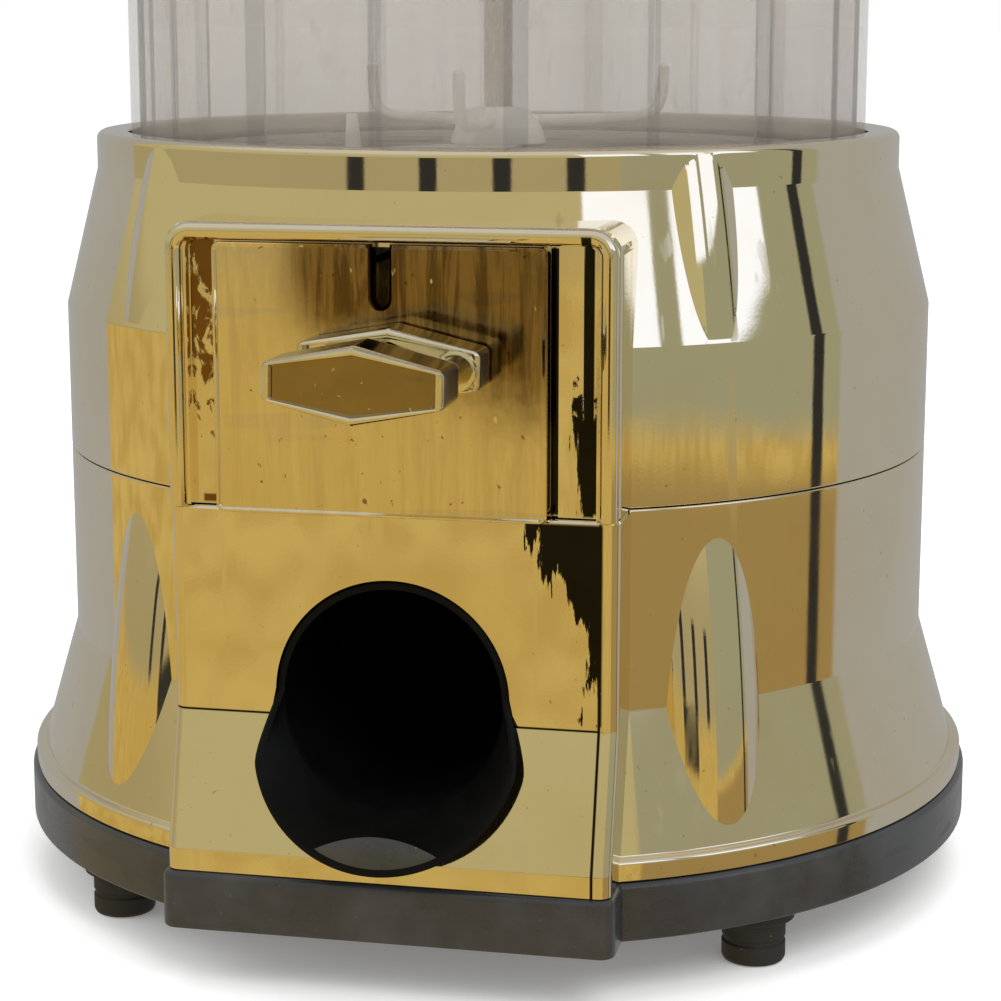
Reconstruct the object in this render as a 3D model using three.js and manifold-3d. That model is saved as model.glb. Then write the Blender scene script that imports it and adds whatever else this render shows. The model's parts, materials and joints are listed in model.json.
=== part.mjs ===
// Coin-operated gumball machine: a mirror-plated round base with a squared front panel, a turning
// handle over a round chute, a geared dispensing wheel, and a clear ribbed tube with a domed lid.
// Millimetres, +Z up, front towards -Y. Every sub-part is built about the machine's own upright
// axis, and the whole group is then shifted so that the origin is the middle of the footprint.
import * as THREE from 'three';
import * as BufferGeometryUtils from 'three/addons/utils/BufferGeometryUtils.js';
import Module from 'manifold-3d';

const wasm = await Module();
wasm.setup();

// ---- driving dimensions -------------------------------------------------------------------
const GAP = 0.3;                 // clearance between pieces that sit on each other
const WALL = 3;                  // moulded shell wall
const ROUND = 48;                // segments round the large shells
const SMALL = 16;                // segments round small turned pieces

const FOOT_TOP = 18.3;
const FOOT_RING_R = 150;         // feet circle
const SKIRT_BOTTOM = 18.6;
const SKIRT_TOP = 37;
const SKIRT_R = 167.5;
const FLANGE_R = 166;            // light flange ring above the skirt
const FLANGE_TOP = 44;
const FLARE_R = 162.7;           // bottom of the flare
const BREAK_LOW = 86.5;          // flare meets the straight band
const BAND_R = 150.3;            // straight middle band
const SEAM = 149.5;              // joint between the two shells
const BREAK_HIGH = 198.5;        // straight band meets the cone
const RIM_R = 138.7;             // vertical rim under the tube
const RIM_LOW = 244.5;
const RIM_TOP = 257;

const PANEL_HALF = 69.5;         // squared front panel
const PANEL_Y = -155;            // front plane of the panel
const PANEL_FOOT_Y = -166.5;     // front plane of its foot strip
const PANEL_BREAK = 85.5;
const PANEL_TOP = 236;
const RECESS_Y = -151;           // recess floor behind the coin plate
const BEZEL_W = 5.4;             // half-round frame round the recess

const LENS_ANGLE = 38.6;         // bulges either side of the panel, in degrees from the front
const LENS_R = 20.5;

const PLATE_X0 = -53.9;          // coin plate
const PLATE_X1 = 48;
const PLATE_Z0 = 148.6;
const PLATE_Z1 = 230.3;
const PLATE_FRONT = -157;
const SLOT_X0 = -4.7;
const SLOT_X1 = 0.3;
const SLOT_Z0 = 211.7;

const SHAFT_X = 3.8;             // handle shaft
const SHAFT_Z = 196.3;
const SHAFT_R = 5;
const HANDLE_BACK = -158.5;
const HANDLE_FRONT = -211.5;

const CHUTE_Z = 92;              // round chute opening in the panel
const CHUTE_R = 36.2;
const CHUTE_WALL = 2.2;
const DROP_Y = -52;              // drop tube and wheel pockets sit this far from the axis
const DROP_R = 25;
const ELBOW_R = 50;              // bend of the chute

const MODULE = 3;                // gear tooth size
const DRIVE_TEETH = 10;
const IDLER_TEETH = 7;
const CROWN_TEETH = 60;
const CROWN_R = MODULE * CROWN_TEETH / 2;
const DRIVE_R = MODULE * DRIVE_TEETH / 2;
const IDLER_R = MODULE * IDLER_TEETH / 2;
const IDLER_Z = SHAFT_Z + DRIVE_R + IDLER_R;
const GEAR_Y = -CROWN_R;
const GEAR_W = 6;
const CROWN_PITCH_Z = IDLER_Z + IDLER_R;

const PAN_FLOOR = 226.4;         // hopper pan
const PAN_R = 109;
const WHEEL_BOTTOM = 235;
const WHEEL_TOP = 251;
const WHEEL_R = 106;
const CROWN_INNER = 84;          // toothed ring under the wheel's edge
const CROWN_TOP = WHEEL_BOTTOM + 4;
const POCKETS = 6;
const POCKET_R = 23;

const TUBE_R = 127;              // clear ribbed tube
const TUBE_WALL = 3;
const TUBE_BOTTOM = 251.7;
const TUBE_TOP = 651.7;
const TUBE_PANELS = 9;           // wide ribs round the tube, a fine rib between each pair
const TUBE_TURN = 14.5;          // where the first wide rib is, in degrees from the front
const ROD_R = 5;
const LID_R = 134;
const LID_TOP = 702;

const SHIFT_Y = -(HANDLE_FRONT + SKIRT_R) / 2;

// ---- looks ---------------------------------------------------------------------------------
const look = (color, roughness, metalness, extra = {}) =>
  new THREE.MeshStandardMaterial({ color, roughness, metalness, ...extra });
const plated = look(0xcdb98a, 0.08, 1);
const polished = look(0xbfb59a, 0.14, 1);
const brass = look(0xb08a45, 0.28, 1);
const steel = look(0x9a9b9c, 0.35, 1);
const blackPlastic = look(0x202020, 0.45, 0);
const greyPlastic = look(0x84837f, 0.5, 0);
const whitePlastic = look(0xe4e2dc, 0.5, 0);
const rubber = look(0x1d1d1d, 0.85, 0);
const clear = look(0xe8e6e2, 0.05, 0, { transparent: true, opacity: 0.3 });

// ---- solids --------------------------------------------------------------------------------
const machine = new THREE.Group();
machine.position.set(0, SHIFT_Y, 0);

function toSolid(geometry) {
  const plain = geometry.index ? geometry.toNonIndexed() : geometry.clone();
  for (const name of Object.keys(plain.attributes)) {
    if (name !== 'position') plain.deleteAttribute(name);
  }
  const merged = BufferGeometryUtils.mergeVertices(plain, 1e-4);
  const keep = [];
  const index = merged.index.array;
  for (let i = 0; i < index.length; i += 3) {
    const [a, b, c] = [index[i], index[i + 1], index[i + 2]];
    if (a !== b && b !== c && c !== a) keep.push(a, b, c);
  }
  return new wasm.Manifold(new wasm.Mesh({
    numProp: 3,
    vertProperties: new Float32Array(merged.attributes.position.array),
    triVerts: new Uint32Array(keep),
  }));
}

function toGeometry(solid) {
  const mesh = solid.getMesh();
  const geometry = new THREE.BufferGeometry();
  geometry.setAttribute('position', new THREE.BufferAttribute(mesh.vertProperties, 3));
  geometry.setIndex(new THREE.BufferAttribute(mesh.triVerts, 1));
  geometry.computeVertexNormals();
  return geometry;
}

function add(name, solid, material) {
  const mesh = new THREE.Mesh(toGeometry(solid), material);
  mesh.name = name;
  machine.add(mesh);
  return mesh;
}

// A closed outline of [radius, height] pairs turned about the upright axis.
function turned(outline, segments = SMALL) {
  const points = outline.map(([r, z]) => new THREE.Vector2(r, z));
  const onAxis = outline[0][0] === 0 && outline[outline.length - 1][0] === 0;
  if (!onAxis) points.push(points[0].clone());
  return toSolid(new THREE.LatheGeometry(points, segments).rotateX(Math.PI / 2));
}

// The same, about a line parallel to Y; heights run towards the back.
function turnedY(outline, x, z, segments = SMALL) {
  const points = outline.map(([r, y]) => new THREE.Vector2(r, y));
  const onAxis = outline[0][0] === 0 && outline[outline.length - 1][0] === 0;
  if (!onAxis) points.push(points[0].clone());
  return toSolid(new THREE.LatheGeometry(points, segments).translate(x, 0, z));
}

const cylinderZ = (radius, z0, z1, x = 0, y = 0, segments = SMALL) =>
  turned([[0, z0], [radius, z0], [radius, z1], [0, z1]], segments).translate([x, y, 0]);
const cylinderY = (radius, y0, y1, x, z, segments = SMALL) =>
  turnedY([[0, y0], [radius, y0], [radius, y1], [0, y1]], x, z, segments);
const pipeZ = (inner, outer, z0, z1, x = 0, y = 0, segments = SMALL) =>
  turned([[inner, z0], [outer, z0], [outer, z1], [inner, z1]], segments).translate([x, y, 0]);

const nutZ = (bore, radius, z0, z1, x = 0, y = 0) =>
  cylinderZ(radius, z0, z1, x, y, 6).subtract(cylinderZ(bore, z0 - 1, z1 + 1, x, y, 12));
const nutY = (bore, radius, y0, y1, x, z) =>
  cylinderY(radius, y0, y1, x, z, 6).subtract(cylinderY(bore, y0 - 1, y1 + 1, x, z, 12));

function box(x0, x1, y0, y1, z0, z1) {
  const geometry = new THREE.BoxGeometry(x1 - x0, y1 - y0, z1 - z0);
  return toSolid(geometry.translate((x0 + x1) / 2, (y0 + y1) / 2, (z0 + z1) / 2));
}

// A flat outline in the X-Z plane, thick along Y.
function slabY(shape, y0, y1, curveSegments = 3) {
  const geometry = new THREE.ExtrudeGeometry(shape, { depth: y1 - y0, bevelEnabled: false, curveSegments });
  return toSolid(geometry.rotateX(Math.PI / 2).translate(0, y1, 0));
}

// A flat outline in the X-Y plane, thick along Z.
function slabZ(shape, z0, z1, curveSegments = 12) {
  const geometry = new THREE.ExtrudeGeometry(shape, { depth: z1 - z0, bevelEnabled: false, curveSegments });
  return toSolid(geometry.translate(0, 0, z0));
}

// An outline of [y, z] pairs, thick along X.
function slabX(points, x0, x1) {
  const shape = new THREE.Shape(points.map(([y, z]) => new THREE.Vector2(y, z)));
  const geometry = new THREE.ExtrudeGeometry(shape, { depth: x1 - x0, bevelEnabled: false });
  geometry.applyMatrix4(new THREE.Matrix4().set(0, 0, 1, x0, 1, 0, 0, 0, 0, 1, 0, 0, 0, 0, 0, 1));
  return toSolid(geometry);
}

function roundedBox(x0, x1, z0, z1, radius) {
  const shape = new THREE.Shape();
  shape.moveTo(x0 + radius, z0);
  shape.lineTo(x1 - radius, z0);
  shape.absarc(x1 - radius, z0 + radius, radius, -Math.PI / 2, 0, false);
  shape.lineTo(x1, z1 - radius);
  shape.absarc(x1 - radius, z1 - radius, radius, 0, Math.PI / 2, false);
  shape.lineTo(x0 + radius, z1);
  shape.absarc(x0 + radius, z1 - radius, radius, Math.PI / 2, Math.PI, false);
  shape.lineTo(x0, z0 + radius);
  shape.absarc(x0 + radius, z0 + radius, radius, Math.PI, Math.PI * 1.5, false);
  return shape;
}

const radians = THREE.MathUtils.degToRad;
const around = (count, make) => Array.from({ length: count }, (_, i) => make((i * 360) / count, i));
const CORNERS = [[-1, -1, 'front_left'], [1, -1, 'front_right'], [-1, 1, 'rear_left'], [1, 1, 'rear_right']];

// ---- shells --------------------------------------------------------------------------------
const frontY = (z) => (z > PANEL_BREAK ? PANEL_Y
  : PANEL_Y + (PANEL_FOOT_Y - PANEL_Y) * Math.min(1, (PANEL_BREAK - z) / (PANEL_BREAK - FLANGE_TOP)));

// A bulge: a round bar laid on the chord between two points of the shell's outline.
function lens(side, r0, z0, r1, z1) {
  const length = Math.hypot(r1 - r0, z1 - z0);
  const bar = new THREE.CylinderGeometry(LENS_R, LENS_R, length, 28);
  bar.rotateX(Math.PI / 2).rotateX(-Math.atan2(r1 - r0, z0 - z1));
  const tilt = Math.atan2(r1 - r0, z0 - z1);
  const y = -(r0 + r1) / 2 + LENS_R * Math.cos(tilt);
  const z = (z0 + z1) / 2 - LENS_R * Math.sin(tilt);
  return toSolid(bar.translate(0, y, z)).rotate([0, 0, side]);
}

function lenses(r0, z0, r1, z1) {
  const sides = [LENS_ANGLE, -LENS_ANGLE, 180 - LENS_ANGLE, 180 + LENS_ANGLE];
  return wasm.Manifold.union(sides.map((side) => lens(side, r0, z0, r1, z1)));
}

// The squared block of the panel between two heights, inset all round by `inset`.
function panelBlock(z0, z1, inset) {
  const breaks = [FLANGE_TOP, PANEL_BREAK].filter((z) => z > z0 && z < z1);
  const front = [z0, ...breaks, z1].map((z) => [frontY(z) + inset, z]);
  return slabX([...front, [-60, z1], [-60, z0]], -PANEL_HALF + inset, PANEL_HALF - inset);
}

function lowerShell() {
  const solid = (inset, z0, z1) => turned([
    [0, z0], [FLANGE_R - inset, z0], [FLANGE_R - inset, FLANGE_TOP - 1], [FLARE_R - inset, FLANGE_TOP],
    [BAND_R - inset, BREAK_LOW], [BAND_R - inset, z1], [0, z1],
  ], ROUND).add(panelBlock(z0, z1, inset));
  const bottom = SKIRT_TOP + GAP;
  const bulges = lenses(BAND_R, SEAM - 11, 161, 50)
    .intersect(cylinderZ(FLANGE_R, FLANGE_TOP + 2, SEAM, 0, 0, ROUND));
  const shell = solid(0, bottom, SEAM).add(bulges)
    .subtract(solid(WALL, bottom - 1, SEAM + 1))
    .subtract(chuteForm(GAP, 12));
  add('lower_shell', shell, plated);
}

function upperShell() {
  const low = SEAM + GAP;
  const ledge = TUBE_BOTTOM - 4.2;
  const outside = turned([
    [0, low], [BAND_R, low], [BAND_R, BREAK_HIGH], [RIM_R, RIM_LOW], [RIM_R, RIM_TOP - 2.5],
    [RIM_R - 0.8, RIM_TOP - 0.8], [RIM_R - 2.5, RIM_TOP], [0, RIM_TOP],
  ], ROUND);
  const hollow = turned([
    [0, low - 1], [BAND_R - WALL, low - 1], [BAND_R - WALL, BREAK_HIGH - 1], [RIM_R - WALL, RIM_LOW - 1],
    [PAN_R + 8, ledge - WALL], [PAN_R + 8, ledge], [TUBE_R + 1, ledge], [TUBE_R + 1, RIM_TOP + 1],
    [0, RIM_TOP + 1],
  ], ROUND);
  const bulges = lenses(RIM_R, RIM_TOP - 2, BAND_R, BREAK_HIGH + 1.5)
    .intersect(cylinderZ(BAND_R + 9, low, RIM_TOP - 1.5, 0, 0, ROUND));
  const edge = PANEL_HALF - BEZEL_W - 2;
  const recess = roundedBox(-edge, edge, low - 9, PANEL_TOP - BEZEL_W, 3);
  const shell = outside.add(bulges).add(panelBlock(low, PANEL_TOP, 0)).subtract(hollow)
    .subtract(box(-PANEL_HALF + WALL, PANEL_HALF - WALL, RECESS_Y + WALL, -60, low - 1, 229))
    .subtract(slabY(recess, -200, RECESS_Y))
    .subtract(slabY(roundedBox(-46, 47, 152, 229, 2), -200, -140))
    .add(bezel(low));
  add('upper_shell', shell, plated);
}

// The half-round frame round the recess: down the left side, along the top, down the right.
function bezel(low) {
  const reach = PANEL_HALF - BEZEL_W / 2 - 1;
  const top = PANEL_TOP - BEZEL_W / 2;
  const outer = roundedBox(-reach - 2.7, reach + 2.7, low - 20, top + 2.7, 6);
  const inner = roundedBox(-reach + 2.7, reach - 2.7, low - 21, top - 2.7, 2);
  const rise = roundedBox(-reach - 1.2, reach + 1.2, low - 20, top + 1.2, 5);
  const sink = roundedBox(-reach + 1.2, reach - 1.2, low - 21, top - 1.2, 3);
  const foot = slabY(outer, PANEL_Y - 1, RECESS_Y + 1).subtract(slabY(inner, PANEL_Y - 2, RECESS_Y + 2));
  const crest = slabY(rise, PANEL_Y - 2.6, PANEL_Y).subtract(slabY(sink, PANEL_Y - 3, PANEL_Y + 1));
  return foot.add(crest).intersect(box(-90, 90, -170, -140, low, 260));
}

function baseSkirt() {
  const ring = (radius, z0, z1) => cylinderZ(radius, z0, z1, 0, 0, ROUND);
  const block = (inset, z0, z1) => slabZ(
    roundedBox(-PANEL_HALF - 1.5 + inset, PANEL_HALF + 1.5 - inset, PANEL_FOOT_Y - 2 + inset, -60, 3), z0, z1, 3);
  const tray = ring(SKIRT_R, SKIRT_BOTTOM, SKIRT_TOP).add(block(0, SKIRT_BOTTOM, SKIRT_TOP))
    .subtract(ring(SKIRT_R - 5, SKIRT_BOTTOM + 4, SKIRT_TOP + 1))
    .subtract(block(5, SKIRT_BOTTOM + 4, SKIRT_TOP + 1));
  const footBores = CORNERS.map(([sx, sy]) => {
    const at = FOOT_RING_R * Math.SQRT1_2;
    return cylinderZ(2.6, SKIRT_BOTTOM - 1, SKIRT_BOTTOM + 5, sx * at, sy * at);
  });
  const rodBore = cylinderZ(ROD_R + GAP, SKIRT_BOTTOM - 1, SKIRT_BOTTOM + 5);
  add('base_skirt', tray.subtract(wasm.Manifold.union([...footBores, rodBore])), blackPlastic);
}

function feet() {
  const at = FOOT_RING_R * Math.SQRT1_2;
  for (const [sx, sy, where] of CORNERS) {
    const foot = turned([
      [2.6, 5], [7, 5], [7, 0], [9.6, 0], [10.2, 0.8], [10.2, 13], [13, 14.5], [13, FOOT_TOP], [2.6, FOOT_TOP],
    ]);
    add(`foot_${where}`, foot.translate([sx * at, sy * at, 0]), rubber);
    const screw = turned([
      [0, 1.8], [4, 1.8], [4.6, 2.6], [4.6, 4.7], [2.3, 4.7], [2.3, SKIRT_BOTTOM + 7], [0, SKIRT_BOTTOM + 7],
    ], 12);
    add(`foot_screw_${where}`, screw.translate([sx * at, sy * at, 0]), steel);
    const nut = nutZ(2.6, 4.4, SKIRT_BOTTOM + 4 + GAP, SKIRT_BOTTOM + 6.6, sx * at, sy * at);
    add(`foot_nut_${where}`, nut, steel);
  }
}

// ---- chute ---------------------------------------------------------------------------------
// Rings of the chute from its upper mouth, round the bend, to the scoop in front of the panel.
function chuteRings(grow) {
  const count = 24;
  const ring = (y, z, up, radius) => Array.from({ length: count }, (_, i) => {
    const a = (i * 2 * Math.PI) / count;
    const point = new THREE.Vector3(Math.cos(a) * radius, y, z);
    return point.addScaledVector(up, Math.sin(a) * radius);
  });
  const steps = 5;
  const rings = Array.from({ length: steps + 1 }, (_, step) => {
    const a = (step / steps) * (Math.PI / 2);
    const up = new THREE.Vector3(0, -Math.cos(a), Math.sin(a));
    const y = DROP_Y - ELBOW_R + Math.cos(a) * ELBOW_R;
    const z = CHUTE_Z + ELBOW_R - Math.sin(a) * ELBOW_R;
    return ring(y, z, up, CHUTE_R - 2 + (2 * step) / steps + grow);
  });
  const level = new THREE.Vector3(0, 0, 1);
  const lean = new THREE.Vector3(0, 1, 2).normalize();
  rings.push(ring(PANEL_Y + 2.5, CHUTE_Z, level, CHUTE_R + grow));
  const flush = ring(PANEL_Y + 1, CHUTE_Z, level, CHUTE_R + grow);
  const mouth = ring(PANEL_Y - 6.4, CHUTE_Z - 10.7, lean, CHUTE_R + 5.4 + grow);
  rings.push(mouth.map((point, i) => {
    const drop = -Math.sin((i * 2 * Math.PI) / count);
    return flush[i].clone().lerp(point, THREE.MathUtils.smoothstep(drop, -0.12, 0.3));
  }));
  return rings;
}

// A closed solid skinned over the rings, with a flat fan at each end.
function skinned(rings) {
  const count = rings[0].length;
  const positions = [];
  const middle = (ring) => ring.reduce((sum, p) => sum.add(p), new THREE.Vector3()).divideScalar(count);
  const face = (...points) => points.forEach((p) => positions.push(p.x, p.y, p.z));
  for (let r = 0; r < rings.length - 1; r += 1) {
    for (let i = 0; i < count; i += 1) {
      const j = (i + 1) % count;
      face(rings[r][i], rings[r][j], rings[r + 1][j]);
      face(rings[r][i], rings[r + 1][j], rings[r + 1][i]);
    }
  }
  const [first, last] = [rings[0], rings[rings.length - 1]];
  const [start, end] = [middle(first), middle(last)];
  for (let i = 0; i < count; i += 1) {
    const j = (i + 1) % count;
    face(start, first[j], first[i]);
    face(end, last[i], last[j]);
  }
  const geometry = new THREE.BufferGeometry();
  geometry.setAttribute('position', new THREE.Float32BufferAttribute(positions, 3));
  return toSolid(geometry);
}

// The chute as a full solid: `grow` swells it, `reach` stretches its two ends so that it can cut.
function chuteForm(grow, reach) {
  const rings = chuteRings(grow);
  const last = rings[rings.length - 1];
  const first = rings[0];
  if (reach > 0) {
    rings.unshift(first.map((p) => p.clone().add(new THREE.Vector3(0, 0, reach))));
    rings.push(last.map((p) => p.clone().add(new THREE.Vector3(0, -reach, reach / 2))));
  }
  return skinned(rings);
}

function chute() {
  const tube = chuteForm(0, 0).subtract(chuteForm(-CHUTE_WALL, 12));
  const mouthY = (z) => PANEL_Y - 0.6 + (z - CHUTE_Z) / 2;
  const lip = slabX([
    [mouthY(40), 40], [mouthY(40) + 2.2, 40], [mouthY(53.5) + 2.2, 53.5], [mouthY(53.5), 53.5],
  ], -60, 60);
  add('chute_scoop', tube.add(chuteForm(0, 0).intersect(lip)), blackPlastic);
}

function dropTube() {
  const z0 = CHUTE_Z + ELBOW_R + GAP;
  const tube = pipeZ(DROP_R, DROP_R + 2.5, z0, PAN_FLOOR - GAP, 0, DROP_Y, 28)
    .add(pipeZ(DROP_R, CHUTE_R - 2, z0, z0 + 3, 0, DROP_Y, 28));
  add('drop_tube', tube, blackPlastic);
}

// ---- coin mechanism --------------------------------------------------------------------------
const MECH_X0 = -44;
const MECH_X1 = 46;
const MECH_Z0 = 153.5;
const MECH_Z1 = 228.5;
const MECH_BACK = -114;
const shaftBore = (y0, y1) => cylinderY(SHAFT_R + GAP, y0, y1, SHAFT_X, SHAFT_Z);

function coinPlate() {
  const face = slabY(roundedBox(PLATE_X0, PLATE_X1, PLATE_Z0, PLATE_Z1, 2.5), PLATE_FRONT + 0.6, PANEL_Y - 0.4);
  const rim = slabY(roundedBox(PLATE_X0, PLATE_X1, PLATE_Z0, PLATE_Z1, 2.5), PLATE_FRONT, PLATE_FRONT + 0.6)
    .subtract(slabY(roundedBox(PLATE_X0 + 1.4, PLATE_X1 - 1.4, PLATE_Z0 + 1.4, PLATE_Z1 - 1.4, 1.5), -160, -150));
  const back = slabY(roundedBox(PLATE_X0, PLATE_X1, SEAM + 1, PLATE_Z1, 2.5), PANEL_Y - 0.4, RECESS_Y - GAP);
  const slot = roundedBox(SLOT_X0, SLOT_X1, SLOT_Z0, PLATE_Z1 + 20, (SLOT_X1 - SLOT_X0) / 2 - 0.01);
  const plate = face.add(rim).add(back)
    .subtract(slabY(slot, -170, -140))
    .subtract(cylinderY(SHAFT_R + 1, -170, -140, SHAFT_X, SHAFT_Z));
  add('coin_plate', plate, polished);
}

function mechHousing() {
  const y0 = RECESS_Y + GAP;
  const cavity = box(MECH_X0 + 2.5, MECH_X1 - 2.5, y0 - 1, MECH_BACK + 1, MECH_Z0 + 2.5, MECH_Z1 - 2.5);
  const coinWay = box(22, 38, y0 + 4, MECH_BACK - 4, MECH_Z0 - 1, MECH_Z0 + 4);
  const mouth = box(SLOT_X0 - 1, SLOT_X1 + 1, y0 - 1, y0 + 28, MECH_Z1 - 4, MECH_Z1 + 1);
  const casing = box(MECH_X0, MECH_X1, y0, MECH_BACK, MECH_Z0, MECH_Z1)
    .subtract(cavity).subtract(coinWay).subtract(mouth);
  add('mech_housing', casing, steel);

  const backPlate = box(MECH_X0, MECH_X1, MECH_BACK + GAP, MECH_BACK + 3, MECH_Z0, 225.5)
    .subtract(shaftBore(-120, -100));
  add('mech_back_plate', backPlate, steel);
}

function coinDrive() {
  const slot = box(SLOT_X0, SLOT_X1, -160, -117, SHAFT_Z + 9, SHAFT_Z + 40);
  const drum = cylinderY(29, -148, -121, SHAFT_X, SHAFT_Z, 36).subtract(slot).subtract(shaftBore(-160, -110));
  add('coin_carrier', drum, brass);

  const teeth = 12;
  const outline = new THREE.Shape(around(teeth, (a) => {
    const at = (degrees, radius) => new THREE.Vector2(
      Math.cos(radians(degrees)) * radius, Math.sin(radians(degrees)) * radius);
    return [at(a, 26), at(a + 360 / teeth - 2, 21.5)];
  }).flat());
  const ratchet = slabY(outline, -120.6, -117.4).translate([SHAFT_X, 0, SHAFT_Z]).subtract(shaftBore(-130, -110));
  add('ratchet_wheel', ratchet, steel);

  const pawlX = SHAFT_X + 32;
  const pawlZ = SHAFT_Z + 22;
  const arm = new THREE.Shape([
    new THREE.Vector2(-3, 4), new THREE.Vector2(4, 0), new THREE.Vector2(3, -4), new THREE.Vector2(-8.2, -9.4),
    new THREE.Vector2(-8, -4.5),
  ]);
  const pawl = slabY(arm, -120.6, -117.4).translate([pawlX, 0, pawlZ]).subtract(cylinderY(2, -130, -110, pawlX, pawlZ, 12));
  add('pawl', pawl, steel);
  add('pawl_pin', cylinderY(1.7, -124, MECH_BACK + GAP - 0.6, pawlX, pawlZ, 12), steel);

  add('handle_shaft', cylinderY(SHAFT_R, -188, GEAR_Y + 9, SHAFT_X, SHAFT_Z, 24), steel);
  add('drive_gear', gear(DRIVE_TEETH).translate([SHAFT_X, 0, SHAFT_Z])
    .subtract(shaftBore(-100, -80)), blackPlastic);
  const nut = nutY(SHAFT_R + GAP, 8.5, GEAR_Y + GEAR_W / 2 + GAP, GEAR_Y + 7.6, SHAFT_X, SHAFT_Z);
  add('shaft_nut', nut, steel);
}

// One spur gear about Y, a tooth pointing straight up.
function gear(teeth) {
  const pitch = (MODULE * teeth) / 2;
  const root = pitch - MODULE * 1.02;
  const tip = pitch + MODULE * 0.7;
  const at = (angle, radius) => new THREE.Vector2(Math.sin(angle) * radius, Math.cos(angle) * radius);
  const half = (width, radius) => width / 2 / radius;
  const outline = new THREE.Shape(around(teeth, (degrees) => {
    const a = radians(degrees);
    return [
      at(a - half(MODULE * 1.55, root), root), at(a - half(MODULE * 1.3, pitch), pitch),
      at(a - half(MODULE * 0.6, tip), tip), at(a + half(MODULE * 0.6, tip), tip),
      at(a + half(MODULE * 1.3, pitch), pitch), at(a + half(MODULE * 1.55, root), root),
    ];
  }).flat());
  return slabY(outline, GEAR_Y - GEAR_W / 2, GEAR_Y + GEAR_W / 2);
}

function idler() {
  const wheel = gear(IDLER_TEETH).subtract(cylinderY(2.8, -100, -80, 0, 0, 12));
  add('idler_gear', wheel.translate([SHAFT_X, 0, IDLER_Z]), brass);
  const pin = turnedY([[0, GEAR_Y - 7.2], [2.5, GEAR_Y - 7.2], [2.5, GEAR_Y + 3.3], [4, GEAR_Y + 3.3],
    [4, GEAR_Y + 4.8], [0, GEAR_Y + 4.8]], SHAFT_X, IDLER_Z, 16);
  add('idler_pin', pin, steel);
  const bracket = slabY(roundedBox(SHAFT_X - 17, SHAFT_X + 17, 174, 226, 3), GEAR_Y - 7.2, GEAR_Y - 4, 2)
    .subtract(shaftBore(-100, -80)).subtract(cylinderY(2.8, -100, -80, SHAFT_X, IDLER_Z, 16));
  add('gear_bracket', bracket, steel);
  for (const [side, where] of [[-1, 'left'], [1, 'right']]) {
    const post = cylinderY(3, MECH_BACK + 3.3, GEAR_Y - 7.5, SHAFT_X + side * 12, 180, 14);
    add(`bracket_post_${where}`, post, brass);
  }
}

function handle() {
  const hexagon = (halfX, halfZ, end) => new THREE.Shape([[-halfX, -end], [0, -halfZ], [halfX, -end],
    [halfX, end], [0, halfZ], [-halfX, end]].map(([x, z]) => new THREE.Vector2(x, z)));
  const block = (halfX, halfZ, end, y0, y1) => slabY(hexagon(halfX, halfZ, end), y0, y1);
  const flangeFront = HANDLE_BACK - 13.5;
  const blockBack = HANDLE_FRONT + 19.5;
  const body = block(27.7, 11.5, 5.7, flangeFront, HANDLE_BACK)
    .subtract(block(24.6, 9, 3.8, flangeFront - 1, flangeFront + 2.5))
    .add(block(19, 7.6, 3.2, blockBack - 1, flangeFront + 4))
    .add(block(26.3, 11.4, 5.4, HANDLE_FRONT, blockBack))
    .subtract(block(23.4, 9, 3.6, HANDLE_FRONT - 1, HANDLE_FRONT + 1.6))
    .translate([SHAFT_X, 0, SHAFT_Z])
    .subtract(cylinderY(SHAFT_R + GAP, -188.5, -150, SHAFT_X, SHAFT_Z));
  add('handle', body, polished);
}

// Coins drop from the mechanism, slide down the guide past the chute, and land in the tray.
function coinPath() {
  const channel = box(-13, 13, 0, 84, 0, 13).subtract(box(-11, 11, -1, 85, 2, 14));
  add('coin_guide', channel.rotate([-36.7, 0, 0]).rotate([0, 0, -23.6]).translate([35, -134, 136]), steel);
  const tray = box(42, 108, -85, 50, SKIRT_BOTTOM + 4 + GAP, 85)
    .subtract(box(44, 106, -83, 48, SKIRT_BOTTOM + 6.5, 90));
  add('coin_tray', tray, blackPlastic);
}

// ---- hopper and dispensing wheel ---------------------------------------------------------------
function hopperPan() {
  const flange = TUBE_BOTTOM - 3.9;
  const pan = turned([
    [0, PAN_FLOOR], [PAN_R, PAN_FLOOR], [PAN_R + 3, flange], [TUBE_R, flange], [TUBE_R, flange + 2],
    [PAN_R, flange + 2], [PAN_R - 1.5, PAN_FLOOR + WALL], [0, PAN_FLOOR + WALL],
  ], ROUND);
  const drop = cylinderZ(DROP_R, 200, 240, 0, DROP_Y, 28);
  const window = box(SHAFT_X - 13.5, SHAFT_X + 13.5, GEAR_Y - 4.5, GEAR_Y + 5.2, 200, 240);
  const rodBore = cylinderZ(ROD_R + GAP, 200, 240);
  add('hopper_pan', pan.subtract(drop).subtract(window).subtract(rodBore), greyPlastic);
}

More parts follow.
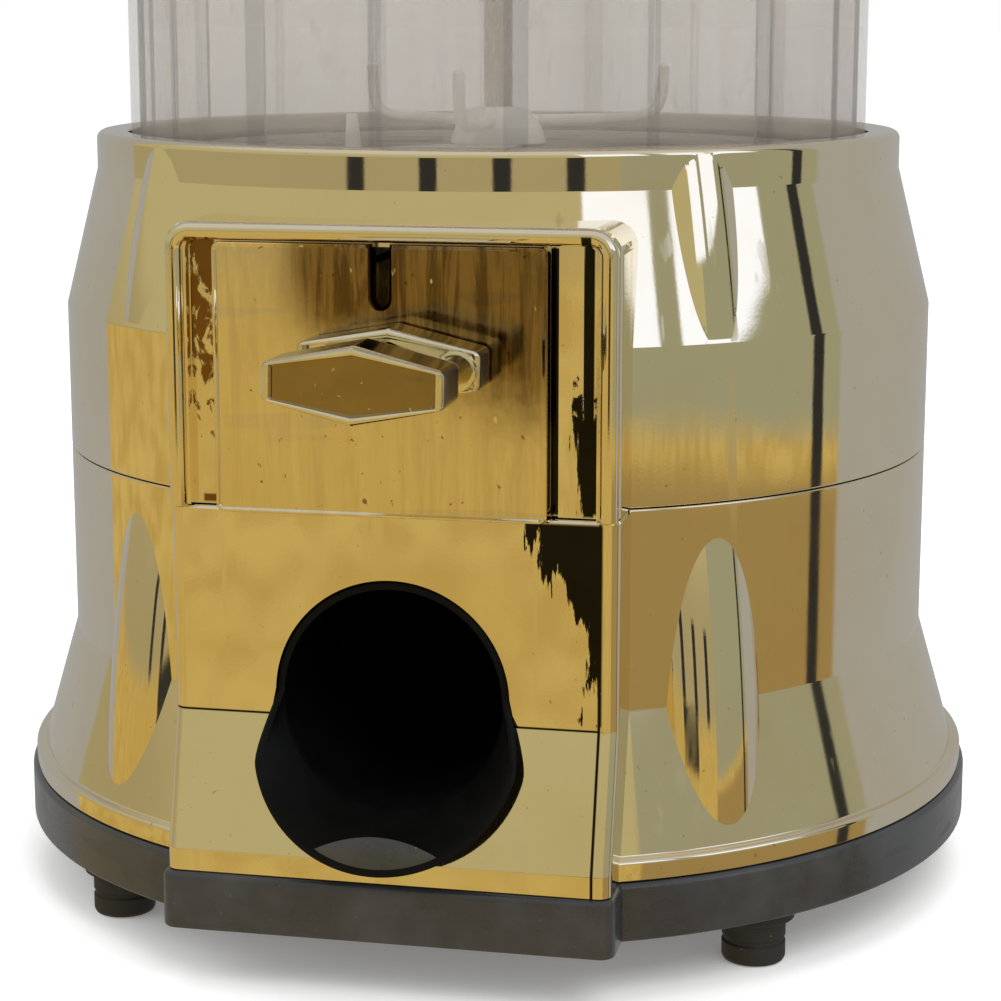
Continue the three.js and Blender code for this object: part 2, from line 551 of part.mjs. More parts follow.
function dispensingWheel() {
  const hubBore = cylinderZ(8.5, 200, 300, 0, 0, 24);
  const pockets = around(POCKETS, (a) => cylinderZ(POCKET_R, 200, 300, 0, DROP_Y, 20).rotate([0, 0, a]));
  const disc = turned([
    [0, WHEEL_BOTTOM], [CROWN_INNER - GAP, WHEEL_BOTTOM], [CROWN_INNER - GAP, CROWN_TOP + GAP],
    [WHEEL_R, CROWN_TOP + GAP], [WHEEL_R, WHEEL_TOP], [0, WHEEL_TOP],
  ], ROUND);
  add('dispensing_wheel', disc.subtract(wasm.Manifold.union([hubBore, ...pockets])), greyPlastic);
  const bush = turned([[ROD_R + 0.4, WHEEL_BOTTOM - 5.3], [11, WHEEL_BOTTOM - 5.3], [11, WHEEL_BOTTOM - GAP],
    [8.2, WHEEL_BOTTOM - GAP], [8.2, WHEEL_TOP + 1], [ROD_R + 0.4, WHEEL_TOP + 1]]);
  add('wheel_bush', bush, brass);
}

// The ring of teeth under the wheel's edge that the idler gear turns.
function crownGear() {
  const ring = pipeZ(CROWN_INNER, WHEEL_R, WHEEL_BOTTOM, CROWN_TOP, 0, 0, ROUND);
  const near = CROWN_R - GEAR_W / 2 - 0.5;
  const far = CROWN_R + GEAR_W / 2 + 0.5;
  const tip = CROWN_PITCH_Z - MODULE * 0.7;
  const tooth = new THREE.Shape([[-2.9, WHEEL_BOTTOM + 1], [-0.9, tip], [0.9, tip], [2.9, WHEEL_BOTTOM + 1]]
    .map(([x, z]) => new THREE.Vector2(x, z)));
  const start = THREE.MathUtils.radToDeg(Math.asin(SHAFT_X / CROWN_R)) + 180 / CROWN_TEETH;
  const teeth = around(CROWN_TEETH, (a) => slabY(tooth, -far, -near).rotate([0, 0, a + start]));
  add('crown_gear', ring.add(wasm.Manifold.union(teeth)), greyPlastic);
}

function stirrer() {
  const low = WHEEL_TOP + GAP;
  const cap = turned([[9, low], [17, low], [15, low + 6], [10.5, low + 12], [ROD_R + 0.6, low + 13],
    [ROD_R + 0.6, low + 9], [9, low + 7]], 24);
  const arms = around(3, (a) => {
    const curve = new THREE.CatmullRomCurve3([[12, 8], [34, 8], [52, 8.6], [60, 13], [62, 27]]
      .map(([r, z]) => new THREE.Vector3(r, 0, low + z)));
    const section = new THREE.Shape().absarc(0, 0, 2, 0, Math.PI * 2);
    const rod = new THREE.ExtrudeGeometry(section, { steps: 8, curveSegments: 3, extrudePath: curve });
    return toSolid(rod).rotate([0, 0, a + 30]);
  });
  add('stirrer', cap.add(wasm.Manifold.union(arms)), whitePlastic);
}

function dropGuard() {
  const from = WHEEL_TOP + 1.5;
  const flange = TUBE_BOTTOM - 1.6;
  const outline = new THREE.Shape();
  outline.absarc(0, 0, 114, radians(-122), radians(-82), false);
  outline.absarc(0, 0, 28, radians(-62), radians(-118), true);
  add('drop_guard', slabZ(outline, from, from + 2.2, 10).add(
    slabX([[-115, flange], [-110.5, flange], [-104, from + 1], [-110, from + 16], [-112, from + 16]], -24, -21)),
  whitePlastic);
}

// ---- clear tube, rod and lid -------------------------------------------------------------------
function clearTube() {
  const inside = [];
  const inner = TUBE_R - TUBE_WALL;
  const at = (degrees, radius) => new THREE.Vector2(
    Math.sin(radians(degrees)) * radius, -Math.cos(radians(degrees)) * radius);
  around(TUBE_PANELS, (a) => {
    const wide = a + TUBE_TURN;
    const pitch = 360 / TUBE_PANELS;
    inside.push(at(wide - 1.6, inner), at(wide - 1.3, inner - 1.6), at(wide + 1.3, inner - 1.6), at(wide + 1.6, inner));
    for (let k = 1; k < 4; k += 1) inside.push(at(wide + (k * pitch) / 8, inner));
    inside.push(at(wide + pitch / 2 - 0.5, inner), at(wide + pitch / 2, inner - 1), at(wide + pitch / 2 + 0.5, inner));
    for (let k = 5; k < 8; k += 1) inside.push(at(wide + (k * pitch) / 8, inner));
  });
  const wall = cylinderZ(TUBE_R, TUBE_BOTTOM, TUBE_TOP, 0, 0, 72)
    .subtract(slabZ(new THREE.Shape(inside), TUBE_BOTTOM - 1, TUBE_TOP + 1));
  add('clear_tube', wall, clear);
  add('tube_gasket_bottom', pipeZ(118, TUBE_R, TUBE_BOTTOM - 1.6, TUBE_BOTTOM - GAP, 0, 0, ROUND), rubber);
  add('tube_gasket_top', pipeZ(118, TUBE_R, TUBE_TOP + GAP, TUBE_TOP + 1.8, 0, 0, ROUND), rubber);
}

function centreRod() {
  add('centre_rod', cylinderZ(ROD_R, 9, 657, 0, 0, 16), steel);
  const nut = (name, z0, z1) => add(name, nutZ(ROD_R + GAP, 9, z0, z1), steel);
  const washer = (name, z0, z1) => add(name, pipeZ(ROD_R + GAP, 13, z0, z1, 0, 0), steel);
  washer('rod_washer_bottom', 16.4, 18.3);
  nut('rod_nut_bottom', 10.5, 16.1);
  washer('rod_washer_pan', 224, 226.1);
  nut('rod_nut_pan', 217.5, 223.7);
  const cup = turned([[ROD_R + GAP, 646], [10, 646], [10, 657.5], [20, 657.5], [20, 672], [17, 672], [17, 660],
    [ROD_R + GAP, 660]], 28);
  add('lock_cup', cup, steel);
}

function lid() {
  const rim = TUBE_TOP + 2.1;
  const shell = turned([
    [12.3, LID_TOP - 3], [60, LID_TOP - 7], [108, LID_TOP - 20], [LID_R - 5, rim + 8], [TUBE_R - 6, rim + WALL],
    [TUBE_R - 6, rim], [LID_R - WALL, rim], [LID_R - WALL, rim - 16], [LID_R, rim - 16], [LID_R, rim + 6],
    [126, LID_TOP - 28], [110, LID_TOP - 17], [60, LID_TOP - 3.6], [12.3, LID_TOP],
  ], ROUND);
  add('lid', shell, plated);

  const barrel = turned([[0, LID_TOP - 24], [10, LID_TOP - 24], [10, LID_TOP - 8], [12, LID_TOP - 8],
    [12, LID_TOP + 3], [10.8, LID_TOP + 4], [0, LID_TOP + 4]], 24);
  const keyway = box(-4.5, 4.5, -0.9, 0.9, LID_TOP - 4, LID_TOP + 10);
  add('lock_barrel', barrel.subtract(keyway), steel);
  const cam = box(-14, 14, -4, 4, LID_TOP - 33.5, LID_TOP - 30.5)
    .add(cylinderZ(7, LID_TOP - 33.5, LID_TOP - 24 - GAP, 0, 0, 16));
  add('lock_cam', cam, steel);
}

baseSkirt();
feet();
lowerShell();
upperShell();
chute();
dropTube();
coinPlate();
mechHousing();
coinDrive();
idler();
handle();
coinPath();
hopperPan();
dispensingWheel();
crownGear();
stirrer();
dropGuard();
clearTube();
centreRod();
lid();

export default machine;
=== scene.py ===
"""Looks for the gumball machine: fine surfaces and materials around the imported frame."""
import json
import math

import bmesh
import bpy
from mathutils import Matrix, Vector

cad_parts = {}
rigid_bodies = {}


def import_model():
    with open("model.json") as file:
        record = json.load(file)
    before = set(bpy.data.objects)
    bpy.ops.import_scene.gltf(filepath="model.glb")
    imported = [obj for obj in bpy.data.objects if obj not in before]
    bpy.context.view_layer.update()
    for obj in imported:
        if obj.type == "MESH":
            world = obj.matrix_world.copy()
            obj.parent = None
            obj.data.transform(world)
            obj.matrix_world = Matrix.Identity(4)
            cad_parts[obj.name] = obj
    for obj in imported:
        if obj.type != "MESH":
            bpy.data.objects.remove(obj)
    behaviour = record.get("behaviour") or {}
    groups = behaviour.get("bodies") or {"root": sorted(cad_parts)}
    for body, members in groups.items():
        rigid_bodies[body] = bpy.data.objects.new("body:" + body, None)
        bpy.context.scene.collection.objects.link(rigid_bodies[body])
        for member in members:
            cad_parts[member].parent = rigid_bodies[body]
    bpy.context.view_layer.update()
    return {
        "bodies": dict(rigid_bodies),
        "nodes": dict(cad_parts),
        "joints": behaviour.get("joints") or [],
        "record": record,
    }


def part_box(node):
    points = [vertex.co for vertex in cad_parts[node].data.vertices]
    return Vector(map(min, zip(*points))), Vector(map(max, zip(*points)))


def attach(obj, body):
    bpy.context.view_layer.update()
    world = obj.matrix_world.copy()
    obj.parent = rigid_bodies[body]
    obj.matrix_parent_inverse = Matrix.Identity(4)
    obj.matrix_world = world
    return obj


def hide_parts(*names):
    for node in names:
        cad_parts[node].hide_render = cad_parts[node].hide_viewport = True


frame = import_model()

# ---- frame and dimensions (millimetres about the machine's upright axis) ----
MM = 0.001
tube_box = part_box("clear_tube")
AXIS = Vector(((tube_box[0].x + tube_box[1].x) / 2, (tube_box[0].y + tube_box[1].y) / 2, 0)) / MM


def limits(node):
    """Lowest and highest corner of a CAD node, in millimetres about the machine's axis."""
    low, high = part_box(node)
    return low / MM - AXIS, high / MM - AXIS


LOWER, UPPER = limits("lower_shell"), limits("upper_shell")
SKIRT, PLATE, HANDLE = limits("base_skirt"), limits("coin_plate"), limits("handle")
PAN, WHEEL, CROWN = limits("hopper_pan"), limits("dispensing_wheel"), limits("crown_gear")
TUBE, LID = limits("clear_tube"), limits("lid")
ROD, STIRRER = limits("centre_rod"), limits("stirrer")
GUARD, BARREL = limits("drop_guard"), limits("lock_barrel")

ROUND = 288              # segments round the large shells
FLANGE_R = UPPER[1].x + 15.7
FLARE_R = 162.7
FLANGE_TOP = 44
BREAK_LOW = 86.5
BAND_R = 150.3
BREAK_HIGH = 198.5
RIM_R = 138.7
RIM_LOW = 244.5
RIM_TOP = UPPER[1].z
WALL = 3
LEDGE_R = 117
IN_FRONT = -200           # a cut that starts here clears the front of everything

PANEL_HALF = 69.5
PANEL_Y = -155
PANEL_FOOT_Y = -166.5
PANEL_BREAK = 85.5
PANEL_TOP = 236
PANEL_CORNER = 4.2
PANEL_BACK = -60
RECESS_Y = -151
BEZEL_W = 5.4

LENS_ANGLE = 38.6
LENS_SIDES = (LENS_ANGLE, -LENS_ANGLE, 180 - LENS_ANGLE, 180 + LENS_ANGLE)
LENS_R = 20.5

SHAFT_X = (HANDLE[0].x + HANDLE[1].x) / 2
SHAFT_Z = (HANDLE[0].z + HANDLE[1].z) / 2
SLOT_X = -2.2
SLOT_HALF = 2.5
SLOT_Z = 211.7

CHUTE_Z = 92
CHUTE_R = 36.2
CHUTE_WALL = 2.2
MOUTH_Y = PANEL_Y - 6.4
MOUTH_Z = CHUTE_Z - 10.7
MOUTH_R = CHUTE_R + 5.4
MOUTH_UP = Vector((0, 1, 2)).normalized()
DROP_Y = -52
DROP_R = 25
ELBOW_R = 50
GEAR_Y = -90
CROWN_TEETH = 60
CROWN_INNER = 84
TOOTH_Y = GEAR_Y - 3.5, GEAR_Y + 3.5
FEET_R = 150


# ---- mesh helpers ----
def fillet(points, closed=True, steps=5):
    """A polyline given as (x, y, corner radius) with each corner turned into an arc."""
    result = []
    count = len(points)
    for i, (x, y, radius) in enumerate(points):
        here = Vector((x, y))
        if radius == 0 or (not closed and i in (0, count - 1)):
            result.append(here)
            continue
        u = (Vector(points[i - 1][:2]) - here).normalized()
        v = (Vector(points[(i + 1) % count][:2]) - here).normalized()
        half = u.angle(v) / 2
        centre = here + (u + v).normalized() * radius / math.sin(half)
        start = here + u * radius / math.tan(half) - centre
        end = here + v * radius / math.tan(half) - centre
        sweep = start.angle_signed(end)
        for k in range(steps + 1):
            arm = start.copy()
            arm.rotate(Matrix.Rotation(-sweep * k / steps, 2))
            result.append(centre + arm)
    return result


def rounded_rect(x0, x1, y0, y1, radius, steps=6):
    corners = [(x0, y0, radius), (x1, y0, radius), (x1, y1, radius), (x0, y1, radius)]
    return fillet(corners, steps=steps)


def smooth(knots, steps=6):
    """A Catmull-Rom curve through the knots."""
    result = []
    for i in range(len(knots) - 1):
        p = [Vector(knots[max(0, min(len(knots) - 1, i + k))]) for k in (-1, 0, 1, 2)]
        for step in range(steps):
            t = step / steps
            square = (2 * p[0] - 5 * p[1] + 4 * p[2] - p[3]) * t * t
            cube = (3 * p[1] - p[0] - 3 * p[2] + p[3]) * t ** 3
            result.append(0.5 * ((2 * p[1]) + (p[2] - p[0]) * t + square + cube))
    result.append(Vector(knots[-1]))
    return result


def build(name, points, faces):
    """A mesh object from points in millimetres about the machine's axis, faces turned outwards."""
    mesh = bpy.data.meshes.new(name)
    mesh.from_pydata([(Vector(p) + AXIS) * MM for p in points], [], faces)
    work = bmesh.new()
    work.from_mesh(mesh)
    bmesh.ops.remove_doubles(work, verts=work.verts, dist=1e-6)
    bmesh.ops.recalc_face_normals(work, faces=work.faces)
    work.to_mesh(mesh)
    work.free()
    piece = bpy.data.objects.new(name, mesh)
    bpy.context.scene.collection.objects.link(piece)
    return piece


def loft(name, rings, loop=False):
    """A skin over rings of points: a closed loop of rings, or capped at both ends."""
    count = len(rings[0])
    points = [p for ring in rings for p in ring]
    faces = []
    for r in range(len(rings) if loop else len(rings) - 1):
        a = r * count
        b = ((r + 1) % len(rings)) * count
        faces += [(a + i, a + (i + 1) % count, b + (i + 1) % count, b + i) for i in range(count)]
    if not loop:
        faces.append(tuple(range(count))[::-1])
        faces.append(tuple(range(len(points) - count, len(points))))
    return build(name, points, faces)


def lathe(name, outline, segments, place):
    """A solid from (radius, height); it closes on itself, or starts and ends on the axis."""
    solid = outline[0][0] == 0
    profile = outline[1:-1] if solid else outline
    turns = [2 * math.pi * i / segments for i in range(segments)]
    rings = [[place(r * math.cos(a), r * math.sin(a), h) for a in turns] for r, h in profile]
    return loft(name, rings, loop=not solid)


def turned(name, outline, segments=ROUND, at=(0, 0)):
    """Lathed about an upright line."""
    return lathe(name, outline, segments, lambda u, v, z: (at[0] + u, at[1] + v, z))


def turned_y(name, outline, x, z, segments=96):
    """Lathed about a line parallel to Y."""
    return lathe(name, outline, segments, lambda u, v, y: (x + u, y, z + v))


def cylinder(name, radius, z0, z1, at=(0, 0), segments=96):
    return turned(name, [(0, z0), (radius, z0), (radius, z1), (0, z1)], segments, at)


def slab(name, outline, y0, y1):
    """A flat X-Z outline, thick along Y."""
    return loft(name, [[(x, y, z) for x, z in outline] for y in (y0, y1)])


def layered(name, outline, stations, axis="y"):
    """Outlines that shrink by an inset at each station along an axis."""
    if axis == "y":
        return loft(name, [[(x, y, z) for x, z in outline(inset)] for inset, y in stations])
    return loft(name, [[(x, y, z) for x, y in outline(inset)] for inset, z in stations])


def combine(piece, others, operation):
    """Applies a boolean with each of the other solids, which are then removed."""
    for other in others:
        step = piece.modifiers.new("combine", "BOOLEAN")
        step.operation = operation
        step.solver = "MANIFOLD"
        step.object = other
        bpy.context.view_layer.update()
        mesh = bpy.data.meshes.new_from_object(piece.evaluated_get(bpy.context.evaluated_depsgraph_get()))
        piece.modifiers.clear()
        piece.data = mesh
        bpy.data.objects.remove(other)
    return piece


def join(name, pieces):
    """Several closed solids that touch nowhere, kept in one mesh."""
    work = bmesh.new()
    for piece in pieces:
        piece.data.transform(piece.matrix_world)
        work.from_mesh(piece.data)
        bpy.data.objects.remove(piece)
    mesh = bpy.data.meshes.new(name)
    work.to_mesh(mesh)
    work.free()
    whole = bpy.data.objects.new(name, mesh)
    bpy.context.scene.collection.objects.link(whole)
    return whole


def turn(piece, degrees, axis="Z", about=(0, 0, 0)):
    centre = Matrix.Translation((Vector(about) + AXIS) * MM)
    piece.data.transform(centre @ Matrix.Rotation(math.radians(degrees), 4, axis) @ centre.inverted())
    return piece


def around(count, make, start=0):
    return [make(start + 360 * i / count) for i in range(count)]


def done(piece, body, material, nodes=(), sharp=32):
    """Smooth shading with crisp edges, the finish, and the CAD body that the piece moves with."""
    mesh = piece.data
    mesh.polygons.foreach_set("use_smooth", [True] * len(mesh.polygons))
    mesh.set_sharp_from_angle(angle=math.radians(sharp))
    mesh.materials.clear()
    mesh.materials.append(material)
    normals = piece.modifiers.new("even normals", "WEIGHTED_NORMAL")
    normals.keep_sharp = True
    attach(piece, body)
    if nodes:
        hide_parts(*nodes)
    return piece


# ---- material helpers ----
class Nodes:
    """Short forms for adding shader nodes to a node tree."""

    def __init__(self, tree):
        self.tree = tree

    def node(self, kind, settings=None, **links):
        node = self.tree.nodes.new(kind)
        for key, value in (settings or {}).items():
            setattr(node, key, value)
        for key, value in links.items():
            self.feed(node.inputs[int(key[1:]) if key[1:].isdigit() else key.replace("_", " ")], value)
        return node

    def feed(self, socket, value):
        if isinstance(value, bpy.types.NodeSocket):
            self.tree.links.new(value, socket)
        else:
            socket.default_value = value

    def span(self, value, low, high, to_low=0.0, to_high=1.0):
        return self.node("ShaderNodeMapRange", {"interpolation_type": "SMOOTHSTEP"}, _0=value, _1=low,
                         _2=high, _3=to_low, _4=to_high).outputs[0]

    def sum(self, a, b, how="ADD"):
        return self.node("ShaderNodeMath", {"operation": how}, _0=a, _1=b).outputs[0]

    def both(self, a, b):
        return self.sum(a, b, "MULTIPLY")

    def within(self, value, low, high, soft):
        """One between two limits, fading to nothing over a soft edge inside each."""
        return self.both(self.span(value, low, low + soft), self.span(value, high - soft, high, 1.0, 0.0))

    def mix(self, factor, a, b):
        rgba = [c if isinstance(c, bpy.types.NodeSocket) else (*c, 1.0) for c in (a, b)]
        node = self.node("ShaderNodeMix", {"data_type": "RGBA"})
        self.feed(node.inputs[0], factor)
        self.feed(node.inputs[6], rgba[0])
        self.feed(node.inputs[7], rgba[1])
        return node.outputs[2]


class Finish(Nodes):
    """A procedural material on the Principled shader, patterned in object coordinates."""

    def __init__(self, name, **sockets):
        self.material = bpy.data.materials.new(name)
        self.material.use_nodes = True
        super().__init__(self.material.node_tree)
        self.shader = self.tree.nodes["Principled BSDF"]
        self.place = self.tree.nodes.new("ShaderNodeTexCoord").outputs["Object"]
        for key, value in sockets.items():
            self.shader.inputs[key.replace("_", " ")].default_value = value

    def scaled(self, stretch):
        return self.node("ShaderNodeMapping", Vector=self.place, Scale=stretch).outputs["Vector"]

    def noise(self, scale, detail=4.0, stretch=(1, 1, 1), roughness=0.55, distortion=0.0):
        return self.node("ShaderNodeTexNoise", Vector=self.scaled(stretch), Scale=scale, Detail=detail,
                         Roughness=roughness, Distortion=distortion).outputs["Fac"]

    def axes(self):
        return self.node("ShaderNodeSeparateXYZ", Vector=self.place).outputs

    def bumps(self, layers):
        """Stacked bumps from (height, strength, distance in metres)."""
        normal = None
        for height, strength, distance in layers:
            bump = self.node("ShaderNodeBump", Height=height, Strength=strength, Distance=distance)
            if normal:
                self.tree.links.new(normal, bump.inputs["Normal"])
            normal = bump.outputs["Normal"]
        self.tree.links.new(normal, self.shader.inputs["Normal"])

    def set(self, socket, value):
        self.feed(self.shader.inputs[socket], value)


def scratches(finish, scale, stretch, low, high):
    """Thin lines where a stretched noise crosses a narrow band."""
    field = finish.noise(scale, 2.0, stretch, 0.6)
    return finish.span(field, low, high)


def plated(name, tint, panel_marks=False, deep=(0.30, 0.19, 0.07)):
    """Mirror plating on moulded plastic: faint waviness, haze, specks and hairline scratches."""
    finish = Finish(name, Metallic=1.0)
    cloud = finish.noise(14, 6, roughness=0.62)
    specks = finish.span(finish.noise(420, 3), 0.70, 0.77)
    marks = finish.span(finish.noise(60, 4, (1, 1, 0.25)), 0.70, 0.78)
    haze = finish.span(cloud, 0.42, 0.75)
    colour = finish.mix(haze, tint, tuple(c * f for c, f in zip(tint, (0.96, 0.93, 0.87))))
    colour = finish.mix(finish.both(specks, 0.5), colour, deep)
    colour = finish.mix(finish.both(marks, 0.3), colour, deep)
    wave = finish.noise(22, 2)
    layers = [(wave, 0.10, 0.0009), (finish.noise(900, 2), 0.05, 0.00004)]
    if panel_marks:
        patina, dark_marks_and_painted_shade = patina_marks_and_painted_shade(finish)
        colour = finish.mix(patina, colour, (0.24, 0.125, 0.04))
        # near-black over the dark streaks, and painted shade in the gap beside the coin plate, along the
        # panel's right edge and along its fold
        colour = finish.mix(dark_marks_and_painted_shade, colour, (0.020, 0.019, 0.017))
        layers.append((finish.sum(patina, dark_marks_and_painted_shade), 0.12, -0.0002))
    finish.set("Base Color", colour)
    lines = scratches(finish, 150, (1, 1, 0.03), 0.62, 0.66)
    rough = finish.sum(finish.span(cloud, 0.3, 0.8, 0.02, 0.08), finish.both(lines, 0.07))
    finish.set("Roughness", rough)
    finish.bumps(layers)
    return finish.material


def patina_marks_and_painted_shade(finish):
    """Browned plating up the strip left of the coin plate, dark streaks down the panel's right side, and
    painted shade in the gap beside the coin plate, along the panel's right edge and along its fold.
    """
    x, y, z = (finish.axes()[k] for k in range(3))
    within, both = finish.within, finish.both
    front = finish.span(y, -0.1265, -0.1240, 1.0, 0.0)
    streaks = finish.sum(finish.noise(300, 5, (1, 1, 0.12), 0.65), 0.5, "SUBTRACT")
    blots = finish.noise(190, 5, (1, 1, 0.5), 0.62, 0.4)

    # a ragged tongue that narrows downwards from the seam
    left_edge = finish.sum(finish.span(z, 0.108, 0.147, 0.0612, 0.0425), both(streaks, 0.034))
    tongue = both(finish.span(finish.sum(x, left_edge, "SUBTRACT"), -0.0003, 0.0006),
                  within(x, 0.030, 0.0650, 0.0008))
    tongue = both(tongue, within(z, 0.0865, 0.1493, 0.0012))
    # the foot of the right strip, painted shadow in the gap beside the coin plate, a dark line in the right
    # strip, and painted shade along the panel's right edge and along its fold
    strip_edge = finish.sum(finish.both(streaks, 0.022), 0.0556)
    strip_top = finish.sum(finish.both(blots, 0.05), 0.160)
    strip = both(finish.span(finish.sum(x, strip_edge, "SUBTRACT"), -0.0003, 0.0006),
                 finish.span(finish.sum(z, strip_top, "SUBTRACT"), -0.001, 0.001, 1.0, 0.0))
    strip = both(both(strip, within(z, 0.1505, 0.30, 0.001)), within(x, 0.053, 0.0622, 0.0005))
    gap = both(within(x, 0.0478, 0.0504, 0.0004), within(z, 0.1498, 0.2300, 0.0008))
    line = both(within(x, 0.0578, 0.0612, 0.0004), within(z, 0.1498, 0.2340, 0.0008))
    rim = both(within(x, 0.0632, 0.0644, 0.0003), within(z, 0.0300, 0.1493, 0.0006))
    fold = both(within(z, 0.0852, 0.0862, 0.0003), within(x, -0.0700, 0.0644, 0.0003))
    # dark streaks joined with the painted shade of the gap, the right edge and the fold
    dark_marks_and_painted_shade = finish.sum(finish.sum(tongue, strip, "MAXIMUM"), finish.sum(gap, line, "MAXIMUM"), "MAXIMUM")
    dark_marks_and_painted_shade = both(finish.sum(dark_marks_and_painted_shade, finish.sum(rim, fold, "MAXIMUM"), "MAXIMUM"), front)

    # brown blotches, dense above and sparse below
    cover = finish.span(z, 0.155, 0.205, 0.67, 0.44)
    patches = finish.span(finish.sum(blots, cover, "SUBTRACT"), -0.01, 0.05)
    left = both(both(patches, within(x, -0.0625, -0.0545, 0.0006)), within(z, 0.1505, 0.232, 0.001))
    smudge = both(within(x, -0.0600, -0.0540, 0.0008), within(z, 0.1500, 0.1532, 0.0008))
    return both(finish.sum(left, smudge, "MAXIMUM"), front), dark_marks_and_painted_shade


def brushed_plate():
    """The coin plate: brushed gold metal with upright brush streaks, its upper part turned dark brown by a
    painted reflection of a dark table edge.
    """
    finish = Finish("coin plate metal", Metallic=1.0)
    streak = finish.noise(210, 5, (1, 1, 0.09), 0.7, 0.5)
    bands = finish.noise(26, 3, (1, 1, 0.2), 0.5)
    patch = finish.noise(38, 5, roughness=0.7)
    x, z = finish.axes()[0], finish.axes()[2]
    lean = finish.sum(finish.both(x, 0.35), finish.both(patch, 0.030))
    high = finish.span(finish.sum(z, lean), 0.196, 0.226)
    middle = finish.sum(finish.span(x, -0.050, -0.026), finish.span(x, 0.026, 0.044, 1.0, 0.0), "MULTIPLY")
    cover = finish.sum(finish.span(bands, 0.30, 0.62), finish.both(middle, 0.45))
    # painted reflection: above a leaning line the plate turns dark brown, as where a dark table edge is
    # reflected
    reflected_dark_top = finish.sum(high, finish.span(cover, 0.15, 1.0), "MULTIPLY")
    colour = finish.mix(finish.span(streak, 0.35, 0.7), (0.90, 0.79, 0.57), (0.83, 0.70, 0.47))
    reflected_brown = finish.mix(finish.span(streak, 0.42, 0.60), (0.155, 0.10, 0.045), (0.36, 0.24, 0.10))
    colour = finish.mix(reflected_dark_top, colour, reflected_brown)
    pits = finish.span(finish.noise(340, 4), 0.68, 0.74)
    colour = finish.mix(finish.both(pits, 0.7), colour, (0.05, 0.03, 0.015))
    nicks = scratches(finish, 240, (1, 1, 0.5), 0.705, 0.74)
    colour = finish.mix(finish.both(nicks, 0.8), colour, (0.95, 0.88, 0.66))
    finish.set("Base Color", colour)
    lines = scratches(finish, 110, (0.12, 1, 1), 0.60, 0.64)
    finish.set("Roughness", finish.sum(finish.span(streak, 0.3, 0.8, 0.05, 0.18),
                                       finish.both(lines, 0.10)))
    finish.bumps([(streak, 0.025, 0.0001), (patch, 0.05, 0.0009)])
    return finish.material


def polished(name, tint):
    """Polished casting: faint orange peel, pits and fine wear."""
    finish = Finish(name, Metallic=1.0)
    pits = finish.span(finish.noise(520, 3), 0.69, 0.74)
    cloud = finish.noise(60, 5)
    colour = finish.mix(finish.span(cloud, 0.35, 0.7), tint, tuple(c * 0.86 for c in tint))
    colour = finish.mix(finish.both(pits, 0.7), colour, (0.9, 0.86, 0.75))
    finish.set("Base Color", colour)
    lines = scratches(finish, 210, (0.2, 1, 1), 0.62, 0.66)
    finish.set("Roughness", finish.sum(finish.span(cloud, 0.3, 0.8, 0.05, 0.14),
                                       finish.both(lines, 0.10)))
    finish.bumps([(finish.noise(90, 2), 0.08, 0.0004), (pits, 0.15, 0.0001)])
    return finish.material


def moulded(name, colour, rough=(0.32, 0.5), grain=1600, coat=0.0, dust=0.25):
    """Moulded plastic or rubber: fine grain, handling marks and a little dust."""
    finish = Finish(name, Coat_Weight=coat, Coat_Roughness=0.18)
    cloud = finish.noise(45, 6, roughness=0.65)
    light = tuple(min(1.0, c * 1.8) for c in colour)
    shade = finish.mix(finish.span(cloud, 0.35, 0.8), colour, light)
    specks = finish.span(finish.noise(700, 3), 0.70, 0.76)
    shade = finish.mix(finish.sum(specks, dust, "MULTIPLY"), shade, (0.45, 0.42, 0.38))
    finish.set("Base Color", shade)
    rubs = scratches(finish, 120, (0.15, 0.15, 1), 0.58, 0.64)
    finish.set("Roughness", finish.sum(finish.span(cloud, 0.25, 0.8, *rough),
                                       finish.both(rubs, 0.12)))
    finish.bumps([(finish.noise(grain, 2), 0.22, 0.00008), (cloud, 0.10, 0.0004)])
    return finish.material


def metal(name, tint, stain, rough=(0.22, 0.42), stretch=(1, 1, 0.08)):
    """Bare metal: drawn or machined lines, tarnish and oil stains."""
    finish = Finish(name, Metallic=1.0)
    drawn = finish.noise(420, 4, stretch, 0.65)
    cloud = finish.noise(70, 6, roughness=0.65)
    colour = finish.mix(finish.span(cloud, 0.45, 0.75), tint, stain)
    finish.set("Base Color", colour)
    finish.set("Roughness", finish.span(drawn, 0.3, 0.8, *rough))
    finish.bumps([(drawn, 0.18, 0.00008), (finish.noise(1200, 2), 0.06, 0.00003)])
    return finish.material


def clear_plastic(name, colour, alpha, rough):
    """Clear acrylic with faint upright draw lines, haze and hairline scratches."""
    finish = Finish(name, IOR=1.49, Alpha=alpha)
    drawn = finish.noise(90, 4, (1, 1, 0.01), 0.6)
    cloud = finish.noise(9, 5)
    hazy = tuple(c * 0.82 for c in colour)
    finish.set("Base Color", finish.mix(finish.span(cloud, 0.3, 0.75), colour, hazy))
    lines = scratches(finish, 170, (1, 1, 0.35), 0.66, 0.69)
    finish.set("Alpha", finish.sum(finish.span(drawn, 0.3, 0.75, alpha * 0.9, alpha * 1.1),
                                   finish.both(lines, 0.10)))
    finish.set("Roughness", finish.span(cloud, 0.3, 0.8, rough, rough + 0.08))
    finish.bumps([(drawn, 0.06, 0.0003)])
    finish.material.surface_render_method = "BLENDED"
    return finish.material


CHAMPAGNE = (0.90, 0.81, 0.62)
SHELL = plated("plated shell", CHAMPAGNE)
